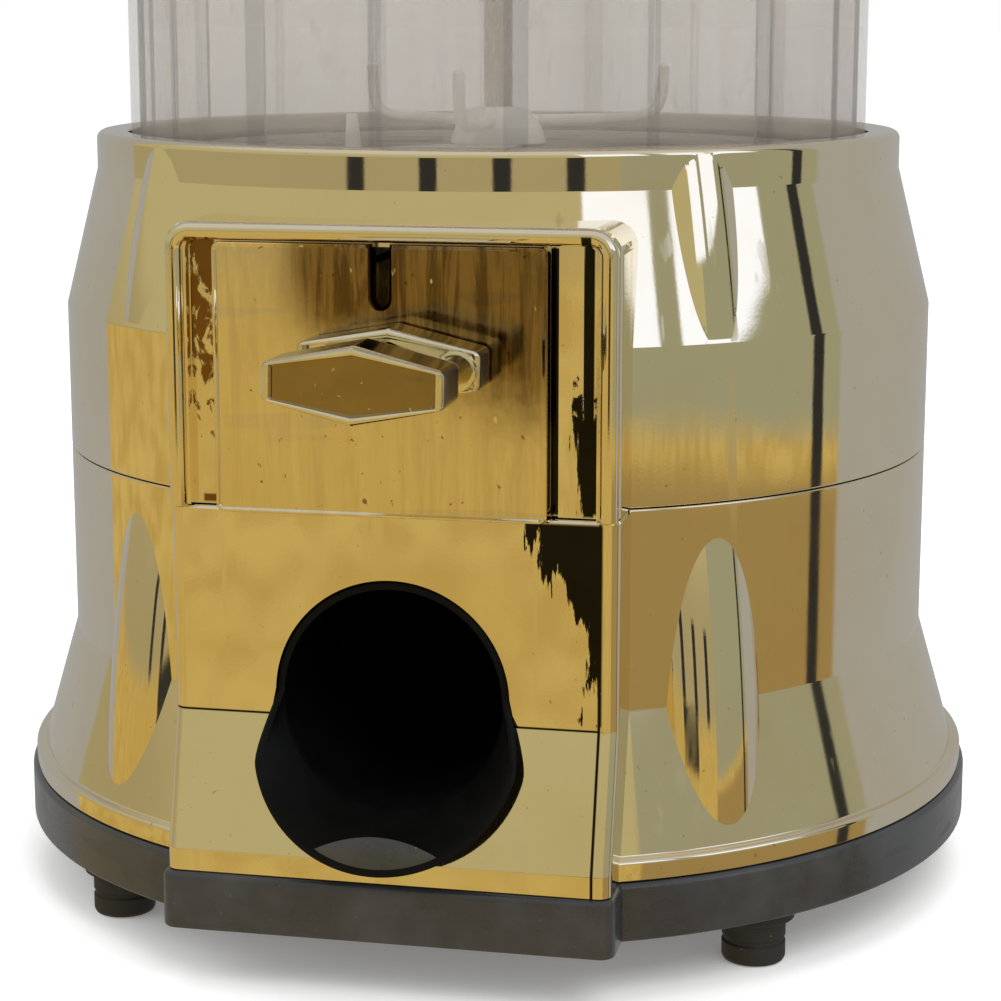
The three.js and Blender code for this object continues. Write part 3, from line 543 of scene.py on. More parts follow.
# its panel carries patina, dark streaks and painted shade beside the coin plate, along the right edge and
# along the fold
PANELLED = plated("plated shell with marked panel and painted shade", CHAMPAGNE, panel_marks=True)
PLATE_METAL = brushed_plate()
HANDLE_METAL = polished("handle metal", (0.88, 0.82, 0.66))
HANDLE_FACE = polished("handle face", (0.36, 0.27, 0.14))
BLACK = moulded("black plastic", (0.022, 0.023, 0.025), rough=(0.24, 0.40), coat=0.3, dust=0.10)
# black plastic, made darker and less shiny than the other black plastic to paint the shade inside the chute
CHUTE_SHADED_BLACK = moulded("chute plastic with painted shade", (0.0025, 0.0025, 0.0025), rough=(0.35, 0.5), grain=900, dust=0.0)
CHUTE_SHADED_BLACK.node_tree.nodes["Principled BSDF"].inputs["Specular IOR Level"].default_value = 0.10
LIP_BLACK = moulded("chute lip plastic", (0.022, 0.021, 0.016), rough=(0.24, 0.38), grain=900, coat=0.25)
# near-black stand-in for the shade on the handle's right-hand end faces: painted shade
HANDLE_SHADED_END = moulded("handle end painted shade", (0.010, 0.010, 0.010), rough=(0.10, 0.22), grain=900, coat=0.5, dust=0.1)
RUBBER = moulded("rubber", (0.014, 0.014, 0.014), rough=(0.6, 0.85), grain=2200)
GREY = moulded("grey plastic", (0.17, 0.165, 0.155), rough=(0.38, 0.6))
WHITE = moulded("white plastic", (0.62, 0.60, 0.55), rough=(0.35, 0.55), dust=0.1)
STEEL = metal("steel", (0.60, 0.59, 0.57), (0.38, 0.36, 0.33))
BRASS = metal("brass", (0.78, 0.58, 0.27), (0.45, 0.30, 0.13))
CLEAR = clear_plastic("clear tube", (0.44, 0.395, 0.345), 0.36, 0.04)
RIBS = clear_plastic("tube ribs", (0.15, 0.15, 0.155), 0.50, 0.12)


# ---- shells ----
def bulge_seat(r0, z0, r1, z1):
    """Tilt, length and middle of the bar on the chord between two points of the outline."""
    tilt = math.atan2(r1 - r0, z0 - z1)
    middle = Vector((0, -(r0 + r1) / 2 + LENS_R * math.cos(tilt), (z0 + z1) / 2 - LENS_R * math.sin(tilt)))
    return tilt, math.hypot(r1 - r0, z1 - z0), middle


def lens(side, r0, z0, r1, z1, bow):
    """A bulge: a round bar, bowed outwards a little, laid on that chord."""
    tilt, length, middle = bulge_seat(r0, z0, r1, z1)
    steps, segments = 24, 160
    rings = []
    for step in range(steps + 1):
        share = 2 * step / steps - 1
        proud = bow * (1 - share * share)
        rings.append([(LENS_R * math.cos(a), LENS_R * math.sin(a) - proud, share * length / 2)
                      for a in (2 * math.pi * i / segments for i in range(segments))])
    bar = loft("bulge", rings)
    bar.data.transform(Matrix.Translation(-AXIS * MM))
    bar.data.transform(Matrix.Rotation(-tilt, 4, "X"))
    bar.data.transform(Matrix.Translation((middle + AXIS) * MM))
    return turn(bar, side)


def bulges(r0, z0, r1, z1, bow, fence):
    bars = join("bulges", [lens(side, r0, z0, r1, z1, bow) for side in LENS_SIDES])
    return combine(bars, [fence], "INTERSECT")


def crease(piece, r0, z0, r1, z1, bow):
    """A clean edge all round each bulge, however slight the angle is there."""
    tilt, length, middle = bulge_seat(r0, z0, r1, z1)
    frames = [(Matrix.Rotation(math.radians(side), 4, "Z") @ Matrix.Translation(middle)
               @ Matrix.Rotation(-tilt, 4, "X")).inverted() for side in LENS_SIDES]

    def on_bulge(place):
        for frame in frames:
            spot = frame @ (place / MM - AXIS)
            share = 2 * spot.z / length
            off = math.hypot(spot.x, spot.y + bow * (1 - share * share)) - LENS_R
            if abs(share) <= 1.0 and abs(off) < 0.05:
                return True
        return False

    mesh = piece.data
    touching = {}
    for face in mesh.polygons:
        side = on_bulge(face.center)
        for key in face.edge_keys:
            touching.setdefault(key, set()).add(side)
    sharp = mesh.attributes["sharp_edge"].data
    for edge in mesh.edges:
        if len(touching.get(edge.key, ())) == 2:
            sharp[edge.index].value = True


def block(name, stations, inset=0.0, corner=PANEL_CORNER):
    """The squared block of the panel: plan outlines at (front y, z, extra inset)."""
    rings = []
    for y, z, pull in stations:
        half = PANEL_HALF - inset - pull
        plan = rounded_rect(-half, half, y + inset + pull, PANEL_BACK, corner)
        rings.append([(px, py, z) for px, py in plan])
    return loft(name, rings)


def front_line(z0, z1, top_pull):
    """Front plane of the lower panel as stations, with small arcs at its breaks."""
    line = fillet([(PANEL_FOOT_Y, z0, 0), (PANEL_FOOT_Y, FLANGE_TOP, 1.2), (PANEL_Y, PANEL_BREAK, 1.2),
                   (PANEL_Y, z1 - top_pull, 0)], closed=False)
    return [(y, z, 0.0) for y, z in line] + [(PANEL_Y, z1, top_pull)]


def lower_shell():
    z0, z1 = LOWER[0].z, LOWER[1].z
    outline = fillet([(0, z0, 0), (FLANGE_R, z0, 0.5), (FLANGE_R, FLANGE_TOP, 1.4),
                      (FLARE_R, FLANGE_TOP, 0.7), (BAND_R, BREAK_LOW, 2.2), (BAND_R, z1, 0.7),
                      (0, z1, 0)], closed=False)
    shell = turned("lower_shell_fine", outline)
    fence = cylinder("fence", FLANGE_R, FLANGE_TOP + 1.5, z1 - 1, segments=ROUND)
    panel = block("panel", front_line(z0, z1, 0.7))
    bulge = (BAND_R, z1 - 11, 161, 50, 1.6)
    combine(shell, [bulges(*bulge, fence), panel], "UNION")
    hollow = turned("hollow", [(0, z0 - 1), (FLANGE_R - WALL, z0 - 1), (FLARE_R - WALL, FLANGE_TOP - 1),
                               (BAND_R - WALL, BREAK_LOW - 1), (BAND_R - WALL, z1 + 1), (0, z1 + 1)])
    inner = block("inner", [(PANEL_FOOT_Y, z0 - 1, 0), (PANEL_FOOT_Y, FLANGE_TOP, 0),
                            (PANEL_Y, PANEL_BREAK, 0), (PANEL_Y, z1 + 1, 0)], WALL, 3)
    combine(shell, [hollow, inner, chute_form(0.35, 14)], "DIFFERENCE")
    crease(done(shell, "base", PANELLED, ["lower_shell"]), *bulge)


def bezel(z0):
    """The half-round frame: up the left side, round the corner, along the top and down the right."""
    reach = PANEL_HALF - BEZEL_W / 2 - 0.6
    top = PANEL_TOP - BEZEL_W / 2
    corners = [(-reach, z0, 0), (-reach, top, 5.8), (reach, top, 5.8), (reach, z0, 0)]
    path = fillet(corners, closed=False, steps=10)
    half, proud, root = BEZEL_W / 2, 2.7, 2.5
    arc = [math.pi * k / 14 for k in range(15)]
    section = [(half * math.cos(a), -proud * math.sin(a)) for a in arc] + [(-half, root), (half, root)]
    rings = []
    for i, (x, z) in enumerate(path):
        ahead, back = path[min(i + 1, len(path) - 1)], path[max(i - 1, 0)]
        along = (ahead - back).normalized()
        rings.append([(x + s * along.y, PANEL_Y + d, z - s * along.x) for s, d in section])
    return loft("bezel", rings)


def shoulder(side, radius=8):
    """What is cut off a top corner of the panel to round it."""
    arc = [(PANEL_HALF - radius + radius * math.sin(a), PANEL_TOP - radius + radius * math.cos(a))
           for a in (math.pi / 2 * k / 16 for k in range(17))]
    outline = [(PANEL_HALF + 1, PANEL_TOP - radius), (PANEL_HALF + 1, PANEL_TOP + 1),
               (PANEL_HALF - radius, PANEL_TOP + 1), *arc]
    if side < 0:
        outline = [(-x, z) for x, z in reversed(outline)]
    return slab("shoulder", outline, IN_FRONT, PANEL_BACK)


def upper_shell():
    z0 = UPPER[0].z
    ledge = TUBE[0].z - 4.2
    outline = fillet([(0, z0, 0), (BAND_R, z0, 0.7), (BAND_R, BREAK_HIGH, 2.0), (RIM_R, RIM_LOW, 1.2),
                      (RIM_R, RIM_TOP, 2.6), (TUBE[1].x + 1, RIM_TOP, 1.2), (TUBE[1].x + 1, ledge, 0.3),
                      (LEDGE_R, ledge, 0), (LEDGE_R, ledge - WALL, 0), (0, ledge - WALL, 0)], closed=False)
    shell = turned("upper_shell_fine", outline)
    fence = cylinder("fence", BAND_R + 9, z0 + 1, RIM_TOP - 1.8, segments=ROUND)
    fence = combine(fence, [cylinder("core", TUBE[1].x + 3, z0, RIM_TOP + 5, segments=ROUND)], "DIFFERENCE")
    panel = block("panel", [(PANEL_Y, z0, 0.7), (PANEL_Y, z0 + 0.7, 0), (PANEL_Y, PANEL_TOP - 2.6, 0),
                            (PANEL_Y, PANEL_TOP - 1.2, 0.35), (PANEL_Y, PANEL_TOP - 0.35, 1.2),
                            (PANEL_Y, PANEL_TOP, 2.6)])
    core = cylinder("core", TUBE[1].x + 3, z0 - 1, PANEL_TOP + 5, segments=ROUND)
    panel = combine(panel, [core, shoulder(-1), shoulder(1)], "DIFFERENCE")
    bulge = (RIM_R, RIM_TOP - 2, BAND_R, BREAK_HIGH + 1.5, 0.8)
    combine(shell, [bulges(*bulge, fence), panel, bezel(z0)], "UNION")
    hollow = turned("hollow", [(0, z0 - 1), (BAND_R - WALL, z0 - 1), (BAND_R - WALL, BREAK_HIGH - 1),
                               (RIM_R - WALL, RIM_LOW - 3), (LEDGE_R, ledge - WALL), (LEDGE_R, ledge + 1),
                               (0, ledge + 1)])
    inner = block("inner", [(RECESS_Y, z0 - 1, 0), (RECESS_Y, 229, 0)], WALL, 2)
    edge = PANEL_HALF - BEZEL_W - 1.6
    recess = slab("recess", rounded_rect(-edge, edge, z0 - 12, PANEL_TOP - BEZEL_W, 3), IN_FRONT, RECESS_Y)
    way = slab("way", rounded_rect(-46, 47, 152, 229, 2), IN_FRONT, -130)
    groove = slab("groove", rounded_rect(48.2, 50.4, z0 - 12, 230, 0.6), IN_FRONT, RECESS_Y + 1.6)
    combine(shell, [hollow, inner, recess, way, groove], "DIFFERENCE")
    crease(done(shell, "base", PANELLED, ["upper_shell"]), *bulge)


def skirt():
    z0, z1 = SKIRT[0].z, SKIRT[1].z
    outer = -SKIRT[0].x
    front = SKIRT[0].y
    half = PANEL_HALF + 1.5
    ring = turned("base_skirt_fine",
                  fillet([(0, z0, 0), (outer, z0, 1.0), (outer, z1, 1.8), (0, z1, 0)], False))
    stations = [(1.0, z0), (0.3, z0 + 0.3), (0.0, z0 + 1.0), (0.0, z1 - 2.2), (0.3, z1 - 1.0),
                (1.0, z1 - 0.3), (2.2, z1)]

    def plan(inset):
        return rounded_rect(-half + inset, half - inset, front + inset, PANEL_BACK, 4.5)

    combine(ring, [layered("front", plan, stations, "z")], "UNION")
    floor = z0 + 4
    tub = turned("tub", [(0, floor), (outer - 5, floor), (outer - 5, z1 + 1), (0, z1 + 1)])
    tub_front = layered("tub_front", lambda inset: plan(inset + 5), [(0, floor), (0, z1 + 1)], "z")
    bores = [cylinder("bore", 2.6, z0 - 1, floor + 1, foot_place(sx, sy), 32) for sx, sy, _ in CORNERS]
    bores.append(cylinder("bore", 5.3, z0 - 1, floor + 1, (0, 0), 48))
    combine(ring, [tub, tub_front, *bores], "DIFFERENCE")
    done(ring, "base", BLACK, ["base_skirt"])


CORNERS = ((-1, -1, "front_left"), (1, -1, "front_right"), (-1, 1, "rear_left"), (1, 1, "rear_right"))


def foot_place(sx, sy):
    return sx * FEET_R * math.sqrt(0.5), sy * FEET_R * math.sqrt(0.5)


def feet():
    for sx, sy, where in CORNERS:
        outline = fillet([(2.6, 5, 0), (7, 5, 0.3), (7, 0, 0.2), (9.6, 0, 0.5), (10.2, 1.2, 0.4),
                          (10.2, 6, 0.2), (9.6, 6.6, 0.2), (9.6, 7.6, 0.2), (10.2, 8.2, 0.2),
                          (10.2, 12.6, 0.8), (13, 14.4, 0.8), (13, 18.3, 0.5), (2.6, 18.3, 0)])
        foot = turned(f"foot_{where}_fine", outline, 96, foot_place(sx, sy))
        done(foot, "base", RUBBER, [f"foot_{where}"])


# ---- chute ----
def chute_rings(grow, count=168, bend=20, flare=8):
    """Rings from the upper mouth, round the bend, to the scoop that stands out of the panel."""
    turns = [2 * math.pi * i / count for i in range(count)]

    def ring(y, z, up, radius):
        return [Vector((math.cos(a) * radius, y, z)) + up * math.sin(a) * radius for a in turns]

    rings = []
    for step in range(bend + 1):
        a = math.pi / 2 * step / bend
        up = Vector((0, -math.cos(a), math.sin(a)))
        y = DROP_Y - ELBOW_R + math.cos(a) * ELBOW_R
        z = CHUTE_Z + ELBOW_R - math.sin(a) * ELBOW_R
        rings.append(ring(y, z, up, CHUTE_R - 2 + 2 * step / bend + grow))
    level = Vector((0, 0, 1))
    throat = ring(PANEL_Y + 2.5, CHUTE_Z, level, CHUTE_R + grow)
    flush = ring(PANEL_Y + 1, CHUTE_Z, level, CHUTE_R + grow)
    mouth = ring(MOUTH_Y, MOUTH_Z, MOUTH_UP, MOUTH_R + grow)
    last = []
    for a, near, far in zip(turns, flush, mouth):
        share = min(1.0, max(0.0, (0.02 - math.sin(a)) / 0.27))
        last.append(near.lerp(far, math.sin(math.pi / 2 * share)))
    for step in range(flare + 1):
        rings.append([p.lerp(q, step / flare) for p, q in zip(throat, last)])
    return rings


def chute_form(grow, reach=0.0):
    rings = chute_rings(grow)
    if reach:
        rings.insert(0, [p + Vector((0, 0, reach)) for p in rings[0]])
        rings.append([p + Vector((0, -reach, reach / 2)) for p in rings[-1]])
    return loft("chute_form", rings)


def chute():
    outside, inside = chute_rings(0), chute_rings(-CHUTE_WALL)
    crown = [(p + q) / 2 + Vector((0, -1, 0.5)).normalized() * 0.7 for p, q in zip(outside[-1], inside[-1])]
    scoop = loft("chute_scoop_fine", [*outside, crown, *inside[::-1]], loop=True)
    # the scoop's very dark plastic is its own black plus painted shade inside the chute
    done(scoop, "base", CHUTE_SHADED_BLACK, ["chute_scoop"], 40)


def chute_lip():
    """The low lip across the bottom of the mouth."""
    half, apex, drop = 19.0, 54.8, 4.3
    radius = MOUTH_R - CHUTE_WALL + 0.4
    centre = Vector((0, MOUTH_Y, MOUTH_Z))
    out = Vector((0, -2, 1)).normalized()
    columns, rows = 48, 6
    sheets = []
    for depth in (-0.2, -2.4):
        grid = []
        for j in range(rows + 1):
            line = []
            for i in range(columns + 1):
                x = half * (2 * i / columns - 1)
                low = -math.sqrt(radius * radius - x * x)
                high = (apex - drop * (x / half) ** 2 - centre.z) / MOUTH_UP.z
                high = max(high, low + 0.05)
                swell = 0.8 * math.sin(math.pi * j / rows) * (1 - (x / half) ** 2)
                line.append(centre + Vector((x, 0, 0)) + MOUTH_UP * (low + (high - low) * j / rows)
                            + out * (depth + swell))
            grid.append(line)
        sheets.append(grid)
    points = [p for grid in sheets for row in grid for p in row]
    width = columns + 1
    faces = []
    for s in range(2):
        base = s * width * (rows + 1)
        faces += [(base + j * width + i, base + j * width + i + 1, base + (j + 1) * width + i + 1,
                   base + (j + 1) * width + i) for j in range(rows) for i in range(columns)]
    size = width * (rows + 1)
    index = [[j * width + i for i in range(width)] for j in range(rows + 1)]
    up, down = [row[-1] for row in index[1:]], [row[0] for row in index[-2:0:-1]]
    border = [*index[0], *up, *index[-1][-2::-1], *down]
    faces += [(a, b, b + size, a + size) for a, b in zip(border, [*border[1:], border[0]])]
    lip = build("chute_lip", points, faces)
    done(lip, "base", LIP_BLACK)


# ---- coin plate and handle ----
def coin_plate():
    x0, x1 = PLATE[0].x, PLATE[1].x
    front, back = PLATE[0].y, PLATE[1].y
    low, high = PLATE[0].z, PLATE[1].z

    def outline(inset):
        return rounded_rect(x0 + inset, x1 - inset, low + inset, high - inset, max(0.6, 2.5 - inset))

    face = PANEL_Y - 0.4
    stations = [(0.0, face), (0.0, front + 0.5), (0.2, front + 0.14), (0.55, front), (0.95, front + 0.12),
                (1.3, front + 0.5), (1.6, front + 0.6)]
    plate = layered("coin_plate_fine", outline, stations)
    root = slab("root", rounded_rect(x0, x1, LOWER[1].z + 1, high, 2.5), face, back)
    combine(plate, [root], "UNION")

    def slot_shape(grow):
        half = SLOT_HALF + grow
        arc = [math.pi + math.pi * k / 16 for k in range(17)]
        bottom = [(SLOT_X + half * math.cos(a), SLOT_Z + SLOT_HALF + half * math.sin(a)) for a in arc]
        return [*bottom, (SLOT_X + half, high + 5), (SLOT_X - half, high + 5)]

    slot = slab("slot", slot_shape(0), -175, -140)
    funnel = ((1.9, front - 1), (1.1, front + 0.6), (0.4, front + 1.5), (0, front + 2.6))
    mouth = loft("mouth", [[(x, y, z) for x, z in slot_shape(grow)] for grow, y in funnel])
    bore = turned_y("bore", [(0, -175), (6, -175), (6, -140), (0, -140)], SHAFT_X, SHAFT_Z)
    combine(plate, [slot, mouth, bore], "DIFFERENCE")
    done(plate, "base", PLATE_METAL, ["coin_plate"])


def hexagon(half_x, half_z, end, corner):
    """A long hexagon with short upright ends, as a function of its inset."""
    slope = math.hypot(half_x, half_z - end) / half_x

    def outline(inset):
        x = half_x - inset
        z = half_z - inset * slope
        tip = end - inset * (slope - 1) * 0.5 - inset * (half_z - end) / half_x
        radius = max(0.5, corner - inset)
        shape = [(-x, -tip, radius), (0, -z, radius * 1.4), (x, -tip, radius), (x, tip, radius),
                 (0, z, radius * 1.4), (-x, tip, radius)]
        return [(SHAFT_X + px, SHAFT_Z + pz) for px, pz in fillet(shape, steps=7)]

    return outline


def handle():
    back, front = HANDLE[1].y, HANDLE[0].y
    flange_front = back - 13.5
    block_back = front + 19.5
    flange = layered("handle_fine", hexagon(27.7, 11.5, 5.7, 2.6), [
        (0.8, back), (0.2, back - 0.3), (0.0, back - 1.0), (0.0, flange_front + 1.9),
        (0.35, flange_front + 0.9), (0.95, flange_front + 0.3), (1.9, flange_front),
        (2.7, flange_front + 0.2), (3.2, flange_front + 0.8), (3.5, flange_front + 2.4)])
    waist = layered("waist", hexagon(19, 7.6, 3.2, 2.0), [(0, flange_front + 4), (0, block_back - 2)])
    grip = layered("grip", hexagon(26.3, 11.4, 5.4, 2.6), [
        (2.4, block_back), (0.9, block_back - 0.3), (0.2, block_back - 1.1), (0.0, block_back - 2.4),
        (0.0, front + 2.2), (0.3, front + 1.0), (0.95, front + 0.25), (1.8, front), (2.5, front + 0.25),
        (2.9, front + 0.9), (3.1, front + 1.4), (3.5, front + 1.5)])
    boss = turned_y("boss", [(0, flange_front + 4), (6.4, flange_front + 4), (6.4, flange_front + 0.4),
                             (5.8, flange_front - 0.6), (4.6, flange_front - 1.2), (0, flange_front - 1.2)],
                    SHAFT_X + 20.5, SHAFT_Z, 48)
    combine(flange, [waist, grip, boss], "UNION")
    bore_end = -188.5
    bore = turned_y("bore", [(0, back + 1), (5.3, back + 1), (5.3, bore_end), (0, bore_end)],
                    SHAFT_X, SHAFT_Z, 48)
    combine(flange, [bore], "DIFFERENCE")
    turn(flange, 1.5, "Y", (SHAFT_X, 0, SHAFT_Z))
    piece = done(flange, "coin_drive", HANDLE_METAL, ["handle"])
    piece.data.materials.append(HANDLE_FACE)
    piece.data.materials.append(HANDLE_SHADED_END)
    depth = (front + 1.0 + AXIS.y) * MM, (front + 2.0 + AXIS.y) * MM
    for face in piece.data.polygons:
        if face.normal.y < -0.9 and depth[0] < face.center.y < depth[1]:
            face.material_index = 1
        # faces turned to +x get the near-black material: painted shade on the handle's right-hand ends
        if face.normal.x > 0.62 and abs(face.normal.y) < 0.35:
            face.material_index = 2


# ---- hopper ----
def hopper():
    floor = PAN[0].z
    flange = TUBE[0].z - 3.9
    outline = fillet([(0, floor, 0), (109, floor, 2), (112, flange, 1), (TUBE[1].x, flange, 0.3),
                      (TUBE[1].x, flange + 2, 0.3), (109, flange + 2, 1), (107.5, floor + WALL, 2),
                      (0, floor + WALL, 0)], closed=False)
    pan = turned("hopper_pan_fine", outline)
    gap = rounded_rect(SHAFT_X - 13.5, SHAFT_X + 13.5, 200, 240, 0.5)
    window = slab("window", gap, GEAR_Y - 4.5, GEAR_Y + 5.2)
    drop = cylinder("drop", DROP_R, 200, 240, (0, DROP_Y))
    bore = cylinder("bore", 5.3, 200, 240, (0, 0), 48)
    combine(pan, [drop, bore, window], "DIFFERENCE")
    done(pan, "base", GREY, ["hopper_pan"])


def dispensing_wheel():
    low, top, radius = WHEEL[0].z, WHEEL[1].z, WHEEL[1].x
    pocket_r, step = 23, CROWN[1].z + 0.3
    inner = 83.7
    outline = fillet([(0, low, 0), (inner, low, 0.5), (inner, step, 0), (radius, step, 0.4),
                      (radius, top, 1.2), (0, top, 0)], False)
    disc = turned("dispensing_wheel_fine", outline)
    cuts = around(6, lambda a: turn(turned("pocket", [
        (0, 220), (pocket_r, 220), (pocket_r, top - 1.6), (pocket_r + 1.6, top + 0.01), (pocket_r + 1.6, 270),
        (0, 270)], 96, (0, DROP_Y)), a))
    ring = turned("groove", [(84, top - 0.8), (86, top - 0.8), (86, top + 2), (84, top + 2)])
    combine(disc, [*cuts, cylinder("hub", 8.5, 220, 270), ring], "DIFFERENCE")
    done(disc, "wheel", GREY, ["dispensing_wheel"])


def crown_gear():
    low, radius = WHEEL[0].z, WHEEL[1].x
    top = CROWN[1].z
    ring = [(CROWN_INNER, low, 0.3), (radius, low, 0.5), (radius, top, 0.4), (CROWN_INNER, top, 0.2)]
    crown = turned("crown_gear_fine", fillet(ring))
    start = math.degrees(math.asin(SHAFT_X / -GEAR_Y)) + 180 / CROWN_TEETH
    tip = CROWN[0].z
    outline = [(-2.9, low + 1), (-0.9, tip), (0.9, tip), (2.9, low + 1)]
    teeth = join("teeth", around(CROWN_TEETH, lambda a: turn(slab("tooth", outline, *TOOTH_Y), a), start))
    combine(crown, [teeth], "UNION")
    done(crown, "wheel", GREY, ["crown_gear"])


def stirrer():
    low = STIRRER[0].z
    cap = turned("stirrer_fine", fillet([(9, low, 0), (17, low, 0.6), (15, low + 6, 2), (10.5, low + 12, 1.5),
                                         (5.6, low + 13, 0.3), (5.6, low + 9, 0), (9, low + 7, 0)]), 96)

    def arm(angle):
        path = smooth([(12, 8), (34, 8), (52, 8.6), (60, 13), (62, 27)], 10)
        rings = []
        for i, point in enumerate(path):
            along = (path[min(i + 1, len(path) - 1)] - path[max(i - 1, 0)]).normalized()
            radius = 2.0 if i < len(path) - 1 else 1.2
            rings.append([(point.x - radius * math.sin(b) * along.y, radius * math.cos(b),
                           low + point.y + radius * math.sin(b) * along.x)
                          for b in (2 * math.pi * k / 20 for k in range(20))])
        return turn(loft("arm", rings), angle)

    combine(cap, [join("arms", around(3, arm, 30))], "UNION")
    done(cap, "wheel", WHITE, ["stirrer"])


def drop_guard():
    low = GUARD[0].z
    span = [math.radians(a) for a in range(-122, -81, 2)]
    close = [math.radians(a) for a in range(-62, -119, -4)]
    plan = ([(114 * math.cos(a), 114 * math.sin(a)) for a in span]
            + [(28 * math.cos(a), 28 * math.sin(a)) for a in close])
    flat = loft("drop_guard_fine", [[(x, y, z) for x, y in plan] for z in (low, low + 2.2)])
    flange = TUBE[0].z - 1.6
    side = fillet([(-115, flange, 0.3), (-110.5, flange, 0.3), (-104, low + 1, 1), (-110, low + 16, 0.8),
                   (-112, low + 16, 0.8)], steps=4)
    fin = loft("fin", [[(x, y, z) for y, z in side] for x in (-24, -21)])
    combine(flat, [fin], "UNION")
    done(flat, "base", WHITE, ["drop_guard"])


# ---- tube, rod and lid ----
def clear_tube():
    """Wide ribs at nine places inside the tube and fine pairs of lines between them."""
    z0, z1, outer = TUBE[0].z, TUBE[1].z, TUBE[1].x
    inner, panels, first = outer - 3, 9, 14.5
    steps = 40
    edge = 0.25

    def depth(angle):
        local = (angle - first) % (360 / panels)
        wide = min(local, 360 / panels - local)
        fine = abs(local - 180 / panels)
        for offset, half, rise in ((wide, 1.5, 1.6), (abs(fine - 0.55), 0.22, 0.7)):
            if offset < half + edge:
                return rise * min(1.0, (half + edge - offset) / edge)
        return 0.0

    marks = [0, 1.25, 1.5, 1.75, 19.0, 19.23, 19.45, 19.67, 19.92]
    marks += [40 - m for m in marks[1:]]
    marks = sorted(set(marks) | {round(k * 360 / panels / steps, 3) for k in range(steps)})
    angles = [first + 360 / panels * p + m for p in range(panels) for m in marks]
    at = lambda a, r: (r * math.sin(math.radians(a)), -r * math.cos(math.radians(a)))
    levels = [(outer - 0.4, z0), (outer, z0 + 0.4), (outer, z1 - 0.4), (outer - 0.4, z1)]
    rings = [[(*at(a, r), z) for a in angles] for r, z in levels]
    rings += [[(*at(a, inner - depth(a)), z) for a in angles] for z in (z1, z0)]
    tube = loft("clear_tube_fine", rings, loop=True)
    done(tube, "base", CLEAR, ["clear_tube"])
    tube.data.materials.append(RIBS)
    rib_r = (inner - 0.3) * MM
    for face in tube.data.polygons:
        middle = face.center - AXIS * MM
        if math.hypot(middle.x, middle.y) < rib_r:
            face.material_index = 1
    for name, low, high in (("bottom", z0 - 1.6, z0 - 0.3), ("top", z1 + 0.3, z1 + 1.8)):
        outline = fillet([(118, low, 0.4), (outer, low, 0.4), (outer, high, 0.4), (118, high, 0.4)])
        done(turned(f"tube_gasket_{name}_fine", outline), "base", RUBBER, [f"tube_gasket_{name}"])


def centre_rod():
    radius, low, high = ROD[1].x, ROD[0].z, ROD[1].z
    outline = [(0, low), (radius - 0.8, low), (radius, low + 0.8)]
    thread = 24
    for k in range(thread):
        z = low + 1 + k * 1.25
        outline += [(radius - 0.7, z + 0.6), (radius, z + 1.25)]
    outline += [(radius, high - 0.8), (radius - 0.8, high), (0, high)]
    done(turned("centre_rod_fine", outline, 64), "base", STEEL, ["centre_rod"])


def lid():
    low = LID[0].z
    top = LID[1].z
    outer = LID[1].x
    rim = low + 16
    dome = [(outer - 0.2, rim + 2), (133.2, rim + 7), (130.5, rim + 13), (126, rim + 20),
            (118, rim + 27.5), (108, rim + 33), (90, rim + 38.5), (70, rim + 42.6), (50, rim + 45.5),
            (30, rim + 47), (12.3, top)]
    shell = [*fillet([(outer - 3, low, 0.8), (outer, low, 0.8), (outer - 0.2, rim + 2, 0)], closed=False),
             *smooth(dome)]
    seat = TUBE[1].x - 6
    under = [(12.3, top - 3), (60, top - 7), (108, top - 20), (outer - 5, rim + 8), (seat, rim + WALL),
             (seat, rim), (outer - WALL, rim)]
    piece = turned("lid_fine", [tuple(p) for p in shell] + under)
    done(piece, "lid_body", SHELL, ["lid"])

    barrel = turned("lock_barrel_fine", fillet([
        (0, BARREL[0].z, 0), (10, BARREL[0].z, 0.4), (10, top - 8, 0), (12, top - 8, 0),
        (12, top + 3, 0.8), (10.8, top + 4, 0.6), (8.2, top + 4, 0.3), (8.0, top + 3.4, 0.2),
        (0, top + 3.4, 0)], closed=False), 96)
    keyway = slab("keyway", rounded_rect(-4.5, 4.5, top - 4, top + 10, 0.4), -0.9, 0.9)
    combine(barrel, [keyway], "DIFFERENCE")
    done(barrel, "lock", STEEL, ["lock_barrel"])


# ---- CAD nodes that keep their own shape ----
SLOT_FINISH = {"plated_shell": SHELL, "polished_metal": HANDLE_METAL, "black_plastic": BLACK,
               "rubber": RUBBER, "steel": STEEL, "brass": BRASS, "grey_plastic": GREY,
               "white_plastic": WHITE, "clear_plastic": CLEAR}


def finish_frame():
    slots = {row["node"]: row["material_slot"] for row in frame["record"]["subparts"]}
    for name, node in frame["nodes"].items():
        node.data.materials.clear()
        node.data.materials.append(SLOT_FINISH[slots[name]])
        if not node.hide_render:
            edge = node.modifiers.new("soft edges", "BEVEL")
            edge.width = 0.00025
            edge.segments = 2
            edge.limit_method = "ANGLE"
            edge.angle_limit = math.radians(40)


